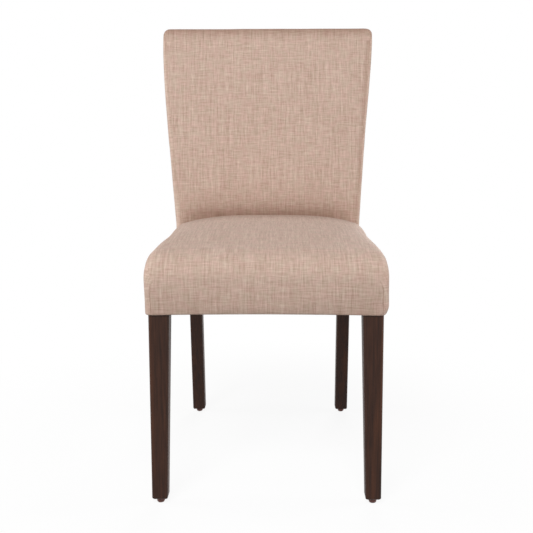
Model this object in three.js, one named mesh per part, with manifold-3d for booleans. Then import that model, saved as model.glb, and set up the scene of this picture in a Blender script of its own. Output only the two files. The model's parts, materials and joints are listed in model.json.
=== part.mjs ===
// A parsons dining chair: a hardwood frame with webbing, foam and a fitted fabric cover.
// Millimetres, +Z up. The chair faces -Y, and left and right are as seen from the front.
// The frame is drawn with Y = 0 at the front of the seat, and moved at the end so that
// the origin lies on the floor under the middle of the chair.
import * as THREE from "three";
import { mergeVertices } from "three/addons/utils/BufferGeometryUtils.js";
import Module from "manifold-3d";

// Driving sizes
const leg_clear_height = 365;
const seat_front_width = 460;
const seat_rear_width = 428.5;
const seat_depth = 432;
const seat_side_height = 119;
const back_rise = 462;
const back_flare = 67;
const back_lean_degrees = 10.5;
const rear_leg_rake_degrees = 10;

// Clearance between neighbours, and the overrun of every cutting tool
const fit_gap = 0.3;
const cut_overrun = 5;

// Glides
const glide_height = 10;
const glide_radius = 8;
const glide_dome = 6;
const glide_rim = 3.5;
const nail_radius = 1.3;
const nail_length = 14;

// Front legs
const front_leg_side_setback = 10;
const front_leg_setback = 5;
const front_leg_top_width = 39;
const front_leg_foot_width = 30;
const leg_chamfer = 2;
const foot_round = 4;
const taper_end = 3;

// Rear posts: each is one piece from the floor to the crest rail
const post_side_setback = 18.25;
const post_width = 30;
const post_foot_depth = 31;
const post_knee_depth = 44;
const post_top_depth = 26;
const post_knee_run = 90;
const post_tenon_width = 16;
const post_tenon_depth = 10;
const post_tenon_length = 22;

// Seat rails
const rail_height = 61;
const front_rail_thickness = 20;
const rear_rail_thickness = 18;
const side_rail_thickness = 14;
const rail_setback = 1;
const rail_end_setback = 6;
const tenon_thickness = 8;
const tenon_height = 32;
const tenon_length = 15;

// Corner blocks
const block_height = 40;
const block_contact = 45;
const block_clip = 5;

// Block screws
const screw_length = 30;
const screw_bite = 12;
const screw_shank_radius = 2;
const screw_head_radius = 4;
const screw_head_height = 3;
const screw_tip_length = 6;

// Lag screws from the front blocks into the front legs
const lag_length = 56;
const lag_shank_radius = 3;
const lag_head_radius = 6;
const lag_head_height = 4;
const washer_radius = 9;
const washer_thickness = 1.5;

// Bolts through the side rails and the rear posts
const bolt_radius = 3;
const bolt_head_radius = 6;
const bolt_head_height = 4;
const bolt_head_recess = 5;
const bolt_edge_distance = 14;
const bolt_front_distance = 10;
const bolt_end_stub = 1.5;
const nut_radius = 5.5;
const nut_thickness = 5;

// Webbing
const strap_count = 3;
const strap_width = 50;
const strap_thickness = 2;
const strap_end_margin = 3;
const weave_ease = 0.25;

// Covers
const fabric_thickness = 1.5;
const dust_cover_thickness = 1;
const hem_width = 14;
const dust_cover_inset = 8;
const rear_seam_side = 7;
const rear_seam_drop = 12;
const crevice_rise = 12;

// Seat cushion
const seat_crown = 24;
const seat_side_bulge = 2;
const seat_edge_radius = 27;
const seat_rear_edge_radius = 14;
const seat_corner_radius = 20;
const seat_front_run = 60;
const seat_front_drop = 48;

// Back frame and padding
const crest_height = 55;
const lower_rail_height = 50;
const lower_rail_depth = 18;
const lower_rail_rise = 50;
const cheek_rise = 5;
const panel_thickness = 4;
const panel_edge_margin = 2;
const back_foam_thickness = 25;
const side_foam_thickness = 4;
const wadding_thickness = 3;
const back_crown = 4;
const back_side_bow = 3.2;
const back_front_radius = 8;
const back_low_radius = 2;
const back_rear_radius = 5;
const back_top_edge_radius = 9;
const back_top_corner_radius = 16;
const crevice_run = 40;

// Steps of the round stretches, and shares of the sizes that they follow
const round_steps = 4;
const foot_steps = 3;
const top_steps = 6;
const crown_steps = 6;
const seat_run_steps = 5;
const back_low_steps = 4;
const back_high_steps = 6;
const turned_sides = 12;
const screw_sides = 8;
const hex_sides = 6;
const wave_steps = 8;
const section_passes = 6;
const crown_power = 3.4;
const bow_power = 2.5;
const front_crown_share = 0.22;
const half_share = 0.5;

// Levels above the floor
const seat_bottom = glide_height + leg_clear_height;
const knee_height = seat_bottom + seat_side_height;
const rail_bottom = seat_bottom + fabric_thickness + fit_gap;
const rail_top = rail_bottom + rail_height;
const rail_middle = (rail_bottom + rail_top) / 2;
const block_bottom = rail_middle - block_height / 2;
const block_top = rail_middle + block_height / 2;

// The angle of the back, and slopes as run back for each millimetre of height
const back_lean = THREE.MathUtils.degToRad(back_lean_degrees);
const lean_slope = Math.tan(back_lean);
const rake_slope = Math.tan(THREE.MathUtils.degToRad(rear_leg_rake_degrees));

// Layers between the cover's face and the frame
const skin_inset = fabric_thickness + fit_gap;
const front_stack = skin_inset + back_foam_thickness + fit_gap + panel_thickness + fit_gap;
const side_stack = skin_inset + side_foam_thickness + fit_gap;
const rear_stack = skin_inset + wadding_thickness + fit_gap;

// Places in plan
const leg_outer = seat_front_width / 2 - front_leg_side_setback;
const leg_inner = leg_outer - front_leg_top_width;
const leg_rear = front_leg_setback + front_leg_top_width;
const post_outer = seat_rear_width / 2 - post_side_setback;
const post_inner = post_outer - post_width;
const knee_y = seat_depth + front_stack / Math.cos(back_lean);
const front_rail_front = front_leg_setback + rail_setback;
const front_rail_rear = front_rail_front + front_rail_thickness;

// The lengths of the back frame, measured up its lean from the knee
const crest_top = back_rise - side_stack;
const crest_bottom = crest_top - crest_height;
const post_top = crest_bottom - fit_gap;

const hardwood = new THREE.MeshStandardMaterial({ color: 0xb98f5e, roughness: 0.7, metalness: 0 });
const dark_wood = new THREE.MeshStandardMaterial({ color: 0x3b2a25, roughness: 0.4, metalness: 0 });
const plywood = new THREE.MeshStandardMaterial({ color: 0xc9a671, roughness: 0.75, metalness: 0 });
const linen = new THREE.MeshStandardMaterial({ color: 0xc6ac9b, roughness: 0.9, metalness: 0 });
const foam = new THREE.MeshStandardMaterial({ color: 0xe9dfb8, roughness: 1, metalness: 0 });
const fibre = new THREE.MeshStandardMaterial({ color: 0xf1efe8, roughness: 1, metalness: 0 });
const black_cloth = new THREE.MeshStandardMaterial({ color: 0x1b1b1c, roughness: 0.95, metalness: 0 });
const web_cloth = new THREE.MeshStandardMaterial({ color: 0x6b5a48, roughness: 0.9, metalness: 0 });
const steel = new THREE.MeshStandardMaterial({ color: 0xb9bcc0, roughness: 0.35, metalness: 1 });
const brown_plastic = new THREE.MeshStandardMaterial({ color: 0x5a2f28, roughness: 0.5, metalness: 0 });

const wasm = await Module();
wasm.setup();

// Solids and meshes

function toSolid(geometry) {
  const bare = geometry.clone();
  bare.deleteAttribute("normal");
  bare.deleteAttribute("uv");
  const merged = mergeVertices(bare);
  return new wasm.Manifold(
    new wasm.Mesh({
      numProp: 3,
      vertProperties: merged.attributes.position.array,
      triVerts: new Uint32Array(merged.index.array),
    }),
  );
}

function toGeometry(solid) {
  const mesh = solid.getMesh();
  const geometry = new THREE.BufferGeometry();
  geometry.setAttribute("position", new THREE.BufferAttribute(mesh.vertProperties, mesh.numProp));
  geometry.setIndex(new THREE.BufferAttribute(mesh.triVerts, 1));
  geometry.computeVertexNormals();
  return geometry;
}

function cut(body, ...tools) {
  const solid = tools.reduce((left, tool) => left.subtract(toSolid(tool)), toSolid(body));
  return toGeometry(solid);
}

function join(body, ...others) {
  const solid = others.reduce((whole, other) => whole.add(toSolid(other)), toSolid(body));
  return toGeometry(solid);
}

// A shape on the right of the chair, with its mirror image on the left.
function bothSides(geometry) {
  const left = geometry.clone().scale(-1, 1, 1);
  const index = left.index ? Array.from(left.index.array) : evenIndex(left.attributes.position.count);
  return [geometry, left.setIndex(index.reverse())];
}

function evenIndex(count) {
  return Array.from({ length: count }, (_, i) => i);
}

function box(x0, x1, y0, y1, z0, z1) {
  const geometry = new THREE.BoxGeometry(x1 - x0, y1 - y0, z1 - z0);
  return geometry.translate((x0 + x1) / 2, (y0 + y1) / 2, (z0 + z1) / 2);
}

// A board with its outline in plan, between two heights.
function plate(points, z0, z1) {
  const shape = new THREE.Shape(points.map(([x, y]) => new THREE.Vector2(x, y)));
  const geometry = new THREE.ExtrudeGeometry(shape, { depth: z1 - z0, bevelEnabled: false });
  return geometry.translate(0, 0, z0);
}

// A board with its outline seen from the front (x across, y up), between two depths.
function upright(shape, y0, y1) {
  const geometry = new THREE.ExtrudeGeometry(shape, { depth: y1 - y0, bevelEnabled: false });
  return geometry.rotateX(Math.PI / 2).translate(0, y1, 0);
}

// A turned piece along +Z, from pairs of radius and height that rise from the axis back to it.
function turned(profile, sides) {
  const points = profile.map(([radius, height]) => new THREE.Vector2(radius, height));
  return new THREE.LatheGeometry(points, sides).rotateX(Math.PI / 2);
}

function rod(radius, length, sides) {
  return turned([[0, 0], [radius, 0], [radius, length], [0, length]], sides);
}

// Moves a piece made along +Z to a start point, pointing along a direction.
function aim(geometry, start, direction) {
  const turn = new THREE.Quaternion().setFromUnitVectors(new THREE.Vector3(0, 0, 1), direction);
  return geometry.applyQuaternion(turn).translate(start.x, start.y, start.z);
}

// A closed skin over rings with the same number of points, each anticlockwise about the way it grows.
function loft(rings) {
  const count = rings[0].length;
  const points = rings.flat();
  const faces = [];
  for (let ring = 0; ring < rings.length - 1; ring++) {
    for (let i = 0; i < count; i++) {
      const a = ring * count + i;
      const b = ring * count + ((i + 1) % count);
      faces.push(a, b, b + count, a, b + count, a + count);
    }
  }
  for (const [ring, growing] of [[rings[0], false], [rings.at(-1), true]]) {
    const first = growing ? (rings.length - 1) * count : 0;
    const middle = points.length;
    points.push(ring.reduce((sum, p) => sum.add(p), new THREE.Vector3()).divideScalar(count));
    for (let i = 0; i < count; i++) {
      const a = first + i;
      const b = first + ((i + 1) % count);
      faces.push(middle, growing ? a : b, growing ? b : a);
    }
  }
  return new THREE.BufferGeometry().setFromPoints(points).setIndex(faces);
}

// How far a rounded edge has drawn in, at a distance from its end.
function roundedEdge(distance, run, drop) {
  if (distance >= run) return 0;
  const left = 1 - Math.max(distance, 0) / run;
  return drop * (1 - Math.sqrt(1 - left * left));
}

// Distances from the end of a rounded edge, closest together at the end.
function roundedStations(run, steps) {
  const stations = [];
  for (let i = 0; i <= steps; i++) {
    stations.push(run * (1 - Math.cos((i / steps) * (Math.PI / 2))));
  }
  return stations;
}

function evenStations(start, end, steps) {
  return Array.from({ length: steps }, (_, i) => start + ((end - start) * (i + 1)) / steps);
}

// Front legs: the two outer faces are upright, and the two inner faces taper to the foot.

function legRing(z, width, inset) {
  const low = inset;
  const high = width - inset;
  const c = leg_chamfer;
  const corners = [
    [low + c, low], [high - c, low], [high, low + c], [high, high - c],
    [high - c, high], [low + c, high], [low, high - c], [low, low + c],
  ];
  return corners.map(([across, back]) => {
    return new THREE.Vector3(leg_outer - width + across, front_leg_setback + back, z);
  });
}

function blockPlan(corner, toRail, rail_face, sideFace) {
  const clip = block_clip * Math.SQRT2;
  const clip_x = corner.x - Math.abs(rail_face - corner.y) - clip;
  const steady = sideFace(corner.y - toRail * block_contact);
  const clip_y = corner.y - toRail * (steady - corner.x + clip);
  const far_y = clip_y - toRail * block_contact;
  return {
    rail_near: new THREE.Vector2(clip_x, rail_face),
    side_near: new THREE.Vector2(sideFace(clip_y), clip_y),
    side_far: new THREE.Vector2(sideFace(far_y), far_y),
    rail_far: new THREE.Vector2(clip_x - block_contact, rail_face),
  };
}

function frontLeg() {
  const foot = roundedStations(foot_round, foot_steps).map((rise) => {
    return legRing(glide_height + rise, front_leg_foot_width, roundedEdge(rise, foot_round, foot_round));
  });
  const leg = loft([
    ...foot,
    legRing(seat_bottom - taper_end, front_leg_top_width, 0),
    legRing(rail_top, front_leg_top_width, 0),
  ]);
  const mortise = tenonAcross(front_rail_front + front_rail_thickness / 2, leg_inner, fit_gap);
  return cut(leg, mortise, sideTenon(fit_gap), lagPilot(), nailHole(front_foot));
}

// A tenon along X that starts at a face and reaches outwards, or its mortise when it is grown.
function tenonAcross(y, face, grow) {
  return box(
    face - cut_overrun, face + tenon_length + grow,
    y - tenon_thickness / 2 - grow, y + tenon_thickness / 2 + grow,
    rail_middle - tenon_height / 2 - grow, rail_middle + tenon_height / 2 + grow,
  );
}

// The tenon at the front of a side rail, or its mortise when it is grown.
function sideTenon(grow) {
  const middle = leg_outer - rail_setback - side_rail_thickness / 2;
  return box(
    middle - tenon_thickness / 2 - grow, middle + tenon_thickness / 2 + grow,
    leg_rear - tenon_length - grow, leg_rear + cut_overrun,
    rail_middle - tenon_height / 2 - grow, rail_middle + tenon_height / 2 + grow,
  );
}

function nailHole(foot) {
  const hole = rod(nail_radius + fit_gap, glide_height + nail_length + fit_gap, turned_sides);
  return hole.translate(foot.x, foot.y, 0);
}

// Rear posts: raked below the knee and leaning above it, with the knee eased over a run each way.

function bentLine(rise, below, above, run) {
  if (rise <= -run) return -rise * below;
  if (rise >= run) return rise * above;
  const t = (rise + run) / (2 * run);
  return run * (below * (1 - t) ** 2 + above * t ** 2);
}

// A point of the leaning back frame, given up its lean and behind its front face.
function onBack(up, behind) {
  return new THREE.Vector2(
    knee_y + up * Math.sin(back_lean) + behind * Math.cos(back_lean),
    knee_height + up * Math.cos(back_lean) - behind * Math.sin(back_lean),
  );
}

const back_place = new THREE.Matrix4()
  .makeRotationX(-back_lean)
  .setPosition(0, knee_y, knee_height);

const post_fall = knee_height - glide_height;
const post_top_front = onBack(post_top, 0);
const post_top_rear = onBack(post_top, post_top_depth);
const knee_rear = knee_y + post_knee_depth;
const foot_front = knee_y + rake_slope * post_fall;
const foot_rear = foot_front + post_foot_depth;
const rear_rake_slope = (foot_rear - knee_rear) / post_fall;
const rear_lean_slope = (post_top_rear.x - knee_rear) / (post_top_rear.y - knee_height);

function postFront(z) {
  return knee_y + bentLine(z - knee_height, rake_slope, lean_slope, post_knee_run);
}

function postRear(z) {
  return knee_rear + bentLine(z - knee_height, rear_rake_slope, rear_lean_slope, post_knee_run);
}

function rearPost() {
  const low = knee_height - post_knee_run;
  const high = knee_height + post_knee_run;
  const side = new THREE.Shape();
  side.moveTo(foot_front, glide_height);
  side.lineTo(foot_rear, glide_height);
  side.lineTo(postRear(low), low);
  side.quadraticCurveTo(knee_rear, knee_height, postRear(high), high);
  side.lineTo(post_top_rear.x, post_top_rear.y);
  side.lineTo(post_top_front.x, post_top_front.y);
  side.lineTo(postFront(high), high);
  side.quadraticCurveTo(knee_y, knee_height, postFront(low), low);
  side.closePath();
  const board = new THREE.ExtrudeGeometry(side, {
    depth: post_width - 2 * leg_chamfer,
    curveSegments: top_steps,
    bevelThickness: leg_chamfer,
    bevelSize: leg_chamfer,
    bevelOffset: -leg_chamfer,
    bevelSegments: 1,
  });
  const swing = new THREE.Matrix4().makeBasis(
    new THREE.Vector3(0, 1, 0), new THREE.Vector3(0, 0, 1), new THREE.Vector3(1, 0, 0),
  );
  board.applyMatrix4(swing).translate(post_inner + leg_chamfer, 0, 0);
  const rail_mortise = tenonAcross(rear_rail_middle, post_inner, fit_gap);
  const lower_mortise = lowerRailTenon(fit_gap).applyMatrix4(back_place);
  const post = join(board, postTenon(0).applyMatrix4(back_place));
  return cut(post, rail_mortise, lower_mortise, nailHole(rear_foot), ...bolt_levels.map(boltHole));
}

// The tenon on top of a post, or its mortise in the crest rail when it is grown.
function postTenon(grow) {
  const middle = post_outer - post_width / 2;
  const depth = post_top_depth / 2;
  return box(
    middle - post_tenon_width / 2 - grow, middle + post_tenon_width / 2 + grow,
    depth - post_tenon_depth / 2 - grow, depth + post_tenon_depth / 2 + grow,
    post_top - cut_overrun, post_top + post_tenon_length + grow,
  );
}

function lowerRailTenon(grow) {
  const depth = lower_rail_depth / 2;
  const up = lower_rail_rise + lower_rail_height / 2;
  return box(
    post_inner - cut_overrun, post_inner + tenon_length + grow,
    depth - tenon_thickness / 2 - grow, depth + tenon_thickness / 2 + grow,
    up - tenon_height / 2 - grow, up + tenon_height / 2 + grow,
  );
}

// Seat rails

const rear_rail_rear = postRear(rail_top) - rail_setback;
const rear_rail_front = rear_rail_rear - rear_rail_thickness;
const rear_rail_middle = (rear_rail_front + rear_rail_rear) / 2;
const side_rail_end = rear_rail_rear - rail_end_setback;
const side_rail_start = leg_rear + fit_gap;
const side_outer_front = leg_outer - rail_setback;
const side_outer_rear = post_outer + fit_gap + side_rail_thickness;

// A side rail runs straight back as far as the seat does, and from there along the post.
function sideOuter(y) {
  const along = Math.min((y - side_rail_start) / (seat_depth - side_rail_start), 1);
  return side_outer_front + (side_outer_rear - side_outer_front) * along;
}

function sideInner(y) {
  return sideOuter(y) - side_rail_thickness;
}

function frontRail() {
  const half = leg_inner - fit_gap;
  const rail = box(-half, half, front_rail_front, front_rail_rear, rail_bottom, rail_top);
  const tenon = tenonAcross(front_rail_front + front_rail_thickness / 2, leg_inner, 0);
  return cut(join(rail, ...bothSides(tenon)), ...bothSides(screwPilot(front_screws[0])));
}

function rearRail() {
  const half = post_inner - fit_gap;
  const rail = box(-half, half, rear_rail_front, rear_rail_rear, rail_bottom, rail_top);
  const tenon = tenonAcross(rear_rail_middle, post_inner, 0);
  return cut(join(rail, ...bothSides(tenon)), ...bothSides(screwPilot(rear_screws[0])));
}

function sideRail() {
  const bends = [side_rail_start, seat_depth, side_rail_end];
  const outer_face = bends.map((y) => [sideOuter(y), y]);
  const inner_face = bends.map((y) => [sideInner(y), y]).reverse();
  const rail = plate([...outer_face, ...inner_face], rail_bottom, rail_top);
  const recesses = bolt_levels.map((z) => {
    const recess = rod(bolt_head_radius + fit_gap, bolt_head_recess + cut_overrun, turned_sides);
    return boltAt(z, recess.translate(0, 0, -cut_overrun));
  });
  const pilots = [front_screws[1], rear_screws[1]].map(screwPilot);
  return cut(join(rail, sideTenon(0)), ...bolt_levels.map(boltHole), ...recesses, ...pilots);
}

// Bolts: the head is sunk in the side rail, and the nut is on the inner face of the post.

const bolt_levels = [rail_bottom + bolt_edge_distance, rail_top - bolt_edge_distance];

function boltDepth(z) {
  return postFront(z) + bolt_front_distance;
}

// Places a piece made along +Z so that it runs inwards from the outer face of the side rail.
function boltAt(z, geometry) {
  const y = boltDepth(z);
  return aim(geometry, new THREE.Vector3(sideOuter(y), y, z), new THREE.Vector3(-1, 0, 0));
}

// The distance from the side rail's outer face to the post's inner face.
function boltGrip(z) {
  return sideOuter(boltDepth(z)) - post_inner;
}

function boltHole(z) {
  return boltAt(z, rod(bolt_radius + fit_gap, boltGrip(z) + cut_overrun, turned_sides));
}

function bolt(z) {
  const under_head = bolt_head_recess;
  const end = boltGrip(z) + fit_gap + nut_thickness + bolt_end_stub;
  const head = under_head - bolt_head_height;
  const profile = [
    [0, head], [bolt_head_radius, head], [bolt_head_radius, under_head - fit_gap],
    [bolt_radius, under_head - fit_gap], [bolt_radius, end], [0, end],
  ];
  return boltAt(z, turned(profile, turned_sides));
}

function nut(z) {
  const start = boltGrip(z) + fit_gap;
  const body = rod(nut_radius, nut_thickness, hex_sides).translate(0, 0, start);
  const bore = rod(bolt_radius + fit_gap, nut_thickness + 2 * cut_overrun, turned_sides)
    .translate(0, 0, start - cut_overrun);
  return boltAt(z, cut(body, bore));
}

// Corner blocks, with their screws

const lag_corner = new THREE.Vector3(leg_inner, leg_rear, rail_middle);
const lag_axis = new THREE.Vector3(1, -1, 0).normalize();
const post_corner = new THREE.Vector2(post_inner, postFront(block_top));
const sideFace = (y) => sideInner(y) - fit_gap;
const front_block_plan = blockPlan(lag_corner, -1, front_rail_rear + fit_gap, sideFace);
const rear_block_plan = blockPlan(post_corner, 1, rear_rail_front - fit_gap, sideFace);

// A screw's head lies where the block is as thick as the shank outside the rail is long.
function blockScrews(plan, toRail) {
  const grip = screw_length - screw_bite;
  const rail_x = (plan.rail_near.x + plan.rail_far.x) / 2;
  const side_y = (plan.side_near.y + plan.side_far.y) / 2;
  return [
    {
      head: new THREE.Vector3(rail_x, plan.rail_near.y - toRail * grip, rail_middle),
      way: new THREE.Vector3(0, toRail, 0),
    },
    {
      head: new THREE.Vector3(sideFace(side_y) - grip, side_y, rail_middle),
      way: new THREE.Vector3(1, 0, 0),
    },
  ];
}

const front_screws = blockScrews(front_block_plan, -1);
const rear_screws = blockScrews(rear_block_plan, 1);

function screw({ head, way }) {
  const profile = [
    [0, -screw_head_height], [screw_head_radius, -screw_head_height], [screw_shank_radius, 0],
    [screw_shank_radius, screw_length - screw_tip_length], [0, screw_length],
  ];
  return aim(turned(profile, screw_sides), head, way);
}

function screwPilot({ head, way }) {
  const hole = rod(screw_shank_radius + fit_gap, screw_length + 2 * fit_gap, screw_sides);
  return aim(hole, head, way);
}

function screwRecess({ head, way }) {
  const radius = screw_head_radius + fit_gap;
  const depth = block_contact;
  return aim(rod(radius, depth, screw_sides).translate(0, 0, fit_gap - depth), head, way);
}

function cornerBlock(plan, screws, ...more) {
  const outline = [plan.rail_far, plan.rail_near, plan.side_near, plan.side_far];
  const block = plate(outline.map((p) => [p.x, p.y]), block_bottom, block_top);
  return cut(block, ...screws.map(screwPilot), ...screws.map(screwRecess), ...more);
}

// The lag screw's head stands off the front block's long face by its washer.
function lagStart() {
  const inwards = lag_axis.clone().negate();
  const reaches = [front_block_plan.rail_far, front_block_plan.side_far].map((p) => {
    return inwards.x * (p.x - lag_corner.x) + inwards.y * (p.y - lag_corner.y);
  });
  const reach = Math.max(...reaches) + fit_gap;
  return inwards.multiplyScalar(reach).add(lag_corner);
}

function lagWasher() {
  const ring = rod(washer_radius, washer_thickness, turned_sides);
  const bore = rod(lag_shank_radius + fit_gap, washer_thickness + 2 * cut_overrun, turned_sides)
    .translate(0, 0, -cut_overrun);
  return aim(cut(ring, bore).translate(0, 0, -washer_thickness), lagStart(), lag_axis);
}

function lagScrew() {
  const seat = -washer_thickness - fit_gap;
  const shank = turned([
    [0, seat - fit_gap], [lag_shank_radius, seat - fit_gap],
    [lag_shank_radius, lag_length - screw_tip_length], [0, lag_length],
  ], screw_sides);
  const head = rod(lag_head_radius, lag_head_height, hex_sides).translate(0, 0, seat - lag_head_height);
  return aim(join(shank, head), lagStart(), lag_axis);
}

function lagPilot() {
  return aim(rod(lag_shank_radius + fit_gap, lag_length + fit_gap, screw_sides), lagStart(), lag_axis);
}

// Glides: a moulded button with a nail

const front_foot = new THREE.Vector2(
  leg_outer - front_leg_foot_width / 2,
  front_leg_setback + front_leg_foot_width / 2,
);
const rear_foot = new THREE.Vector2(post_outer - post_width / 2, foot_front + post_foot_depth / 2);

function glide(foot) {
  const top = glide_height - fit_gap;
  const dome = roundedStations(glide_dome, foot_steps).map((height) => {
    return [glide_radius - roundedEdge(height, glide_dome, glide_rim), height];
  });
  const profile = [
    [0, 0], ...dome, [glide_radius, top],
    [nail_radius, top], [nail_radius, glide_height + nail_length], [0, glide_height + nail_length],
  ];
  return turned(profile, turned_sides).translate(foot.x, foot.y, 0);
}

// Webbing: straps woven over and under each other, flat where they lie on the rails

const span_front = front_rail_rear;
const pitch_y = (rear_rail_front - span_front) / strap_count;
const web_half = Math.min(side_outer_front, side_outer_rear) - side_rail_thickness;
const pitch_x = (2 * web_half) / strap_count;

// High enough that two crossing straps clear each other right out to their edges.
function waveHeight() {
  const edge = Math.cos(((Math.PI / 2) * strap_width) / Math.min(pitch_x, pitch_y));
  return ((strap_thickness + fit_gap) / 2 + weave_ease) / edge;
}

const wave_height = waveHeight();
const strap_middle = rail_top + fit_gap + strap_thickness / 2;
const web_top = strap_middle + strap_thickness / 2 + wave_height;

// A strap's centre line, along its length: flat, then one half wave for each crossing, then flat.
function strapLine(start, end, first, pitch, over) {
  const line = [[start, 0]];
  for (let i = 0; i <= strap_count * wave_steps; i++) {
    const across = i / wave_steps;
    line.push([first + across * pitch, over * wave_height * Math.sin(Math.PI * across)]);
  }
  line.push([end, 0]);
  return line;
}

function strapSide(line) {
  const top = line.map(([along, up]) => new THREE.Vector2(along, strap_middle + up + strap_thickness / 2));
  const under = line.map(([along, up]) => new THREE.Vector2(along, strap_middle + up - strap_thickness / 2));
  return new THREE.Shape([...under, ...top.reverse()]);
}

// A strap from front to back, centred on x.
function longStrap(x, over) {
  const start = front_rail_front + strap_end_margin;
  const end = rear_rail_rear - strap_end_margin;
  const side = strapSide(strapLine(start, end, span_front, pitch_y, over));
  const geometry = new THREE.ExtrudeGeometry(side, { depth: strap_width, bevelEnabled: false });
  const swing = new THREE.Matrix4().makeBasis(
    new THREE.Vector3(0, 1, 0), new THREE.Vector3(0, 0, 1), new THREE.Vector3(1, 0, 0),
  );
  return geometry.applyMatrix4(swing).translate(x - strap_width / 2, 0, 0);
}

// A strap from side to side, centred on y.
function crossStrap(y, over) {
  const end = sideOuter(y + strap_width / 2) - strap_end_margin;
  const side = strapSide(strapLine(-end, end, -web_half, pitch_x, over));
  return upright(side, y - strap_width / 2, y + strap_width / 2);
}

// Seat cushion: sections across the chair, from the front edge to the back

const seat_end = seat_depth - fit_gap;

function seatHalfWidth(y) {
  return (seat_front_width + ((seat_rear_width - seat_front_width) * y) / seat_depth) / 2;
}

function seatCrown(y) {
  const along = y / seat_depth;
  return seat_crown * (front_crown_share + (1 - front_crown_share) * Math.sin((Math.PI / 2) * along));
}

// The rounded top edge gets tighter towards the back, where the seat swells against it.
function seatEdgeRadius(y) {
  const along = THREE.MathUtils.smoothstep(y, seat_depth * half_share, seat_depth);
  return THREE.MathUtils.lerp(seat_edge_radius, seat_rear_edge_radius, along);
}

function seatRing(y, skin) {
  const from_front = y - skin;
  const corner = seat_corner_radius - skin;
  const half = seatHalfWidth(y) - skin - roundedEdge(from_front, corner, corner);
  const front_drop = roundedEdge(from_front, seat_front_run - skin, seat_front_drop - skin);
  const edge = knee_height - skin - front_drop;
  const radius = seatEdgeRadius(y) - skin;
  const bottom = seat_bottom + skin;
  const height = (x) => edge + seatCrown(y) * (1 - Math.abs(x / half) ** crown_power);
  const right = [];
  for (let i = 0; i <= crown_steps; i++) {
    const x = ((half - radius) * i) / crown_steps;
    right.push([x, height(x)]);
  }
  for (let i = 1; i <= round_steps; i++) {
    const angle = ((Math.PI / 2) * i) / round_steps;
    const x = half - radius + radius * Math.sin(angle);
    right.push([x, height(x) - radius * (1 - Math.cos(angle))]);
  }
  const side_top = edge - radius;
  right.push([half, (side_top + bottom) / 2]);
  right.push([half - seat_side_bulge, bottom]);
  const left = right.slice(1).reverse().map(([x, z]) => [-x, z]);
  return [...right, ...left].map(([x, z]) => new THREE.Vector3(x, y, z));
}

function seatLoft(skin) {
  const run = seat_front_run - skin;
  const stations = roundedStations(run, 2 * round_steps).map((distance) => skin + distance);
  stations.push(...evenStations(seat_front_run, seat_end - skin, seat_run_steps));
  return loft(stations.map((y) => seatRing(y, skin)));
}

function seatCover() {
  const front_half = seatHalfWidth(0) - hem_width;
  const rear_half = seatHalfWidth(seat_depth) - hem_width;
  const rear = seat_depth + cut_overrun;
  const mouth = plate([
    [-front_half, hem_width], [front_half, hem_width], [rear_half, rear], [-rear_half, rear],
  ], seat_bottom - cut_overrun, seat_bottom + fabric_thickness + fit_gap);
  const inside = seatHalfWidth(seat_depth) - seat_side_bulge - fabric_thickness - fit_gap;
  const tail = box(
    -inside, inside, seat_end - fabric_thickness - cut_overrun, rear,
    seat_bottom - cut_overrun, web_top + fit_gap,
  );
  const leg_space = box(
    leg_inner - fit_gap, leg_outer + fit_gap, front_leg_setback - fit_gap, leg_rear + fit_gap,
    seat_bottom - cut_overrun, seat_bottom + fabric_thickness + fit_gap,
  );
  return cut(seatLoft(0), seatLoft(fabric_thickness), mouth, tail, ...bothSides(leg_space));
}

// Seat foam: a crowned slab over the webbing, with a thin apron down round the rails

function seatFoam() {
  const front = leg_outer + fit_gap;
  const rear = side_outer_rear + fit_gap;
  const under = plate([
    [-front, front_leg_setback - fit_gap], [front, front_leg_setback - fit_gap],
    [front, leg_rear + fit_gap], [rear, seat_depth], [rear, seat_depth + cut_overrun],
    [-rear, seat_depth + cut_overrun], [-rear, seat_depth], [-front, leg_rear + fit_gap],
  ], seat_bottom - cut_overrun, web_top + fit_gap);
  return cut(seatLoft(skin_inset), under);
}

// Dust cover: a thin cloth under the seat, cut away at the legs

function dustCover() {
  const top = seat_bottom - fit_gap;
  const front_half = seatHalfWidth(0) - dust_cover_inset;
  const rear_half = seatHalfWidth(seat_depth) - dust_cover_inset;
  const dust_rear = backRear(seat_bottom) - dust_cover_inset;
  const sheet = plate([
    [-front_half, dust_cover_inset], [front_half, dust_cover_inset],
    [rear_half, seat_depth], [rear_half, dust_rear],
    [-rear_half, dust_rear], [-rear_half, seat_depth],
  ], top - dust_cover_thickness, top);
  const z0 = top - cut_overrun;
  const z1 = top + cut_overrun;
  const notches = [
    box(leg_inner - fit_gap, front_half + cut_overrun, -cut_overrun, leg_rear + fit_gap, z0, z1),
    box(post_inner - fit_gap, rear_half + cut_overrun, postFront(z1) - fit_gap, foot_rear, z0, z1),
  ];
  return cut(sheet, ...notches.flatMap(bothSides));
}

// Back: sections across the chair from the bottom of the seat to the top of the back

const back_top = onBack(back_rise, -front_stack).y;

function backFront(z) {
  return seat_depth + bentLine(z - knee_height, 0, lean_slope, crevice_run);
}

function backRear(z) {
  return postRear(z) + rear_stack;
}

// The half width grows up the back, with a slight outward bow in its upper part.
function backHalfWidth(z) {
  const along = THREE.MathUtils.clamp((z - knee_height) / (back_top - knee_height), 0, 1);
  const flare = (seat_rear_width + back_flare * along) / 2;
  return flare + back_side_bow * Math.sin(Math.PI * along ** bow_power);
}

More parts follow.
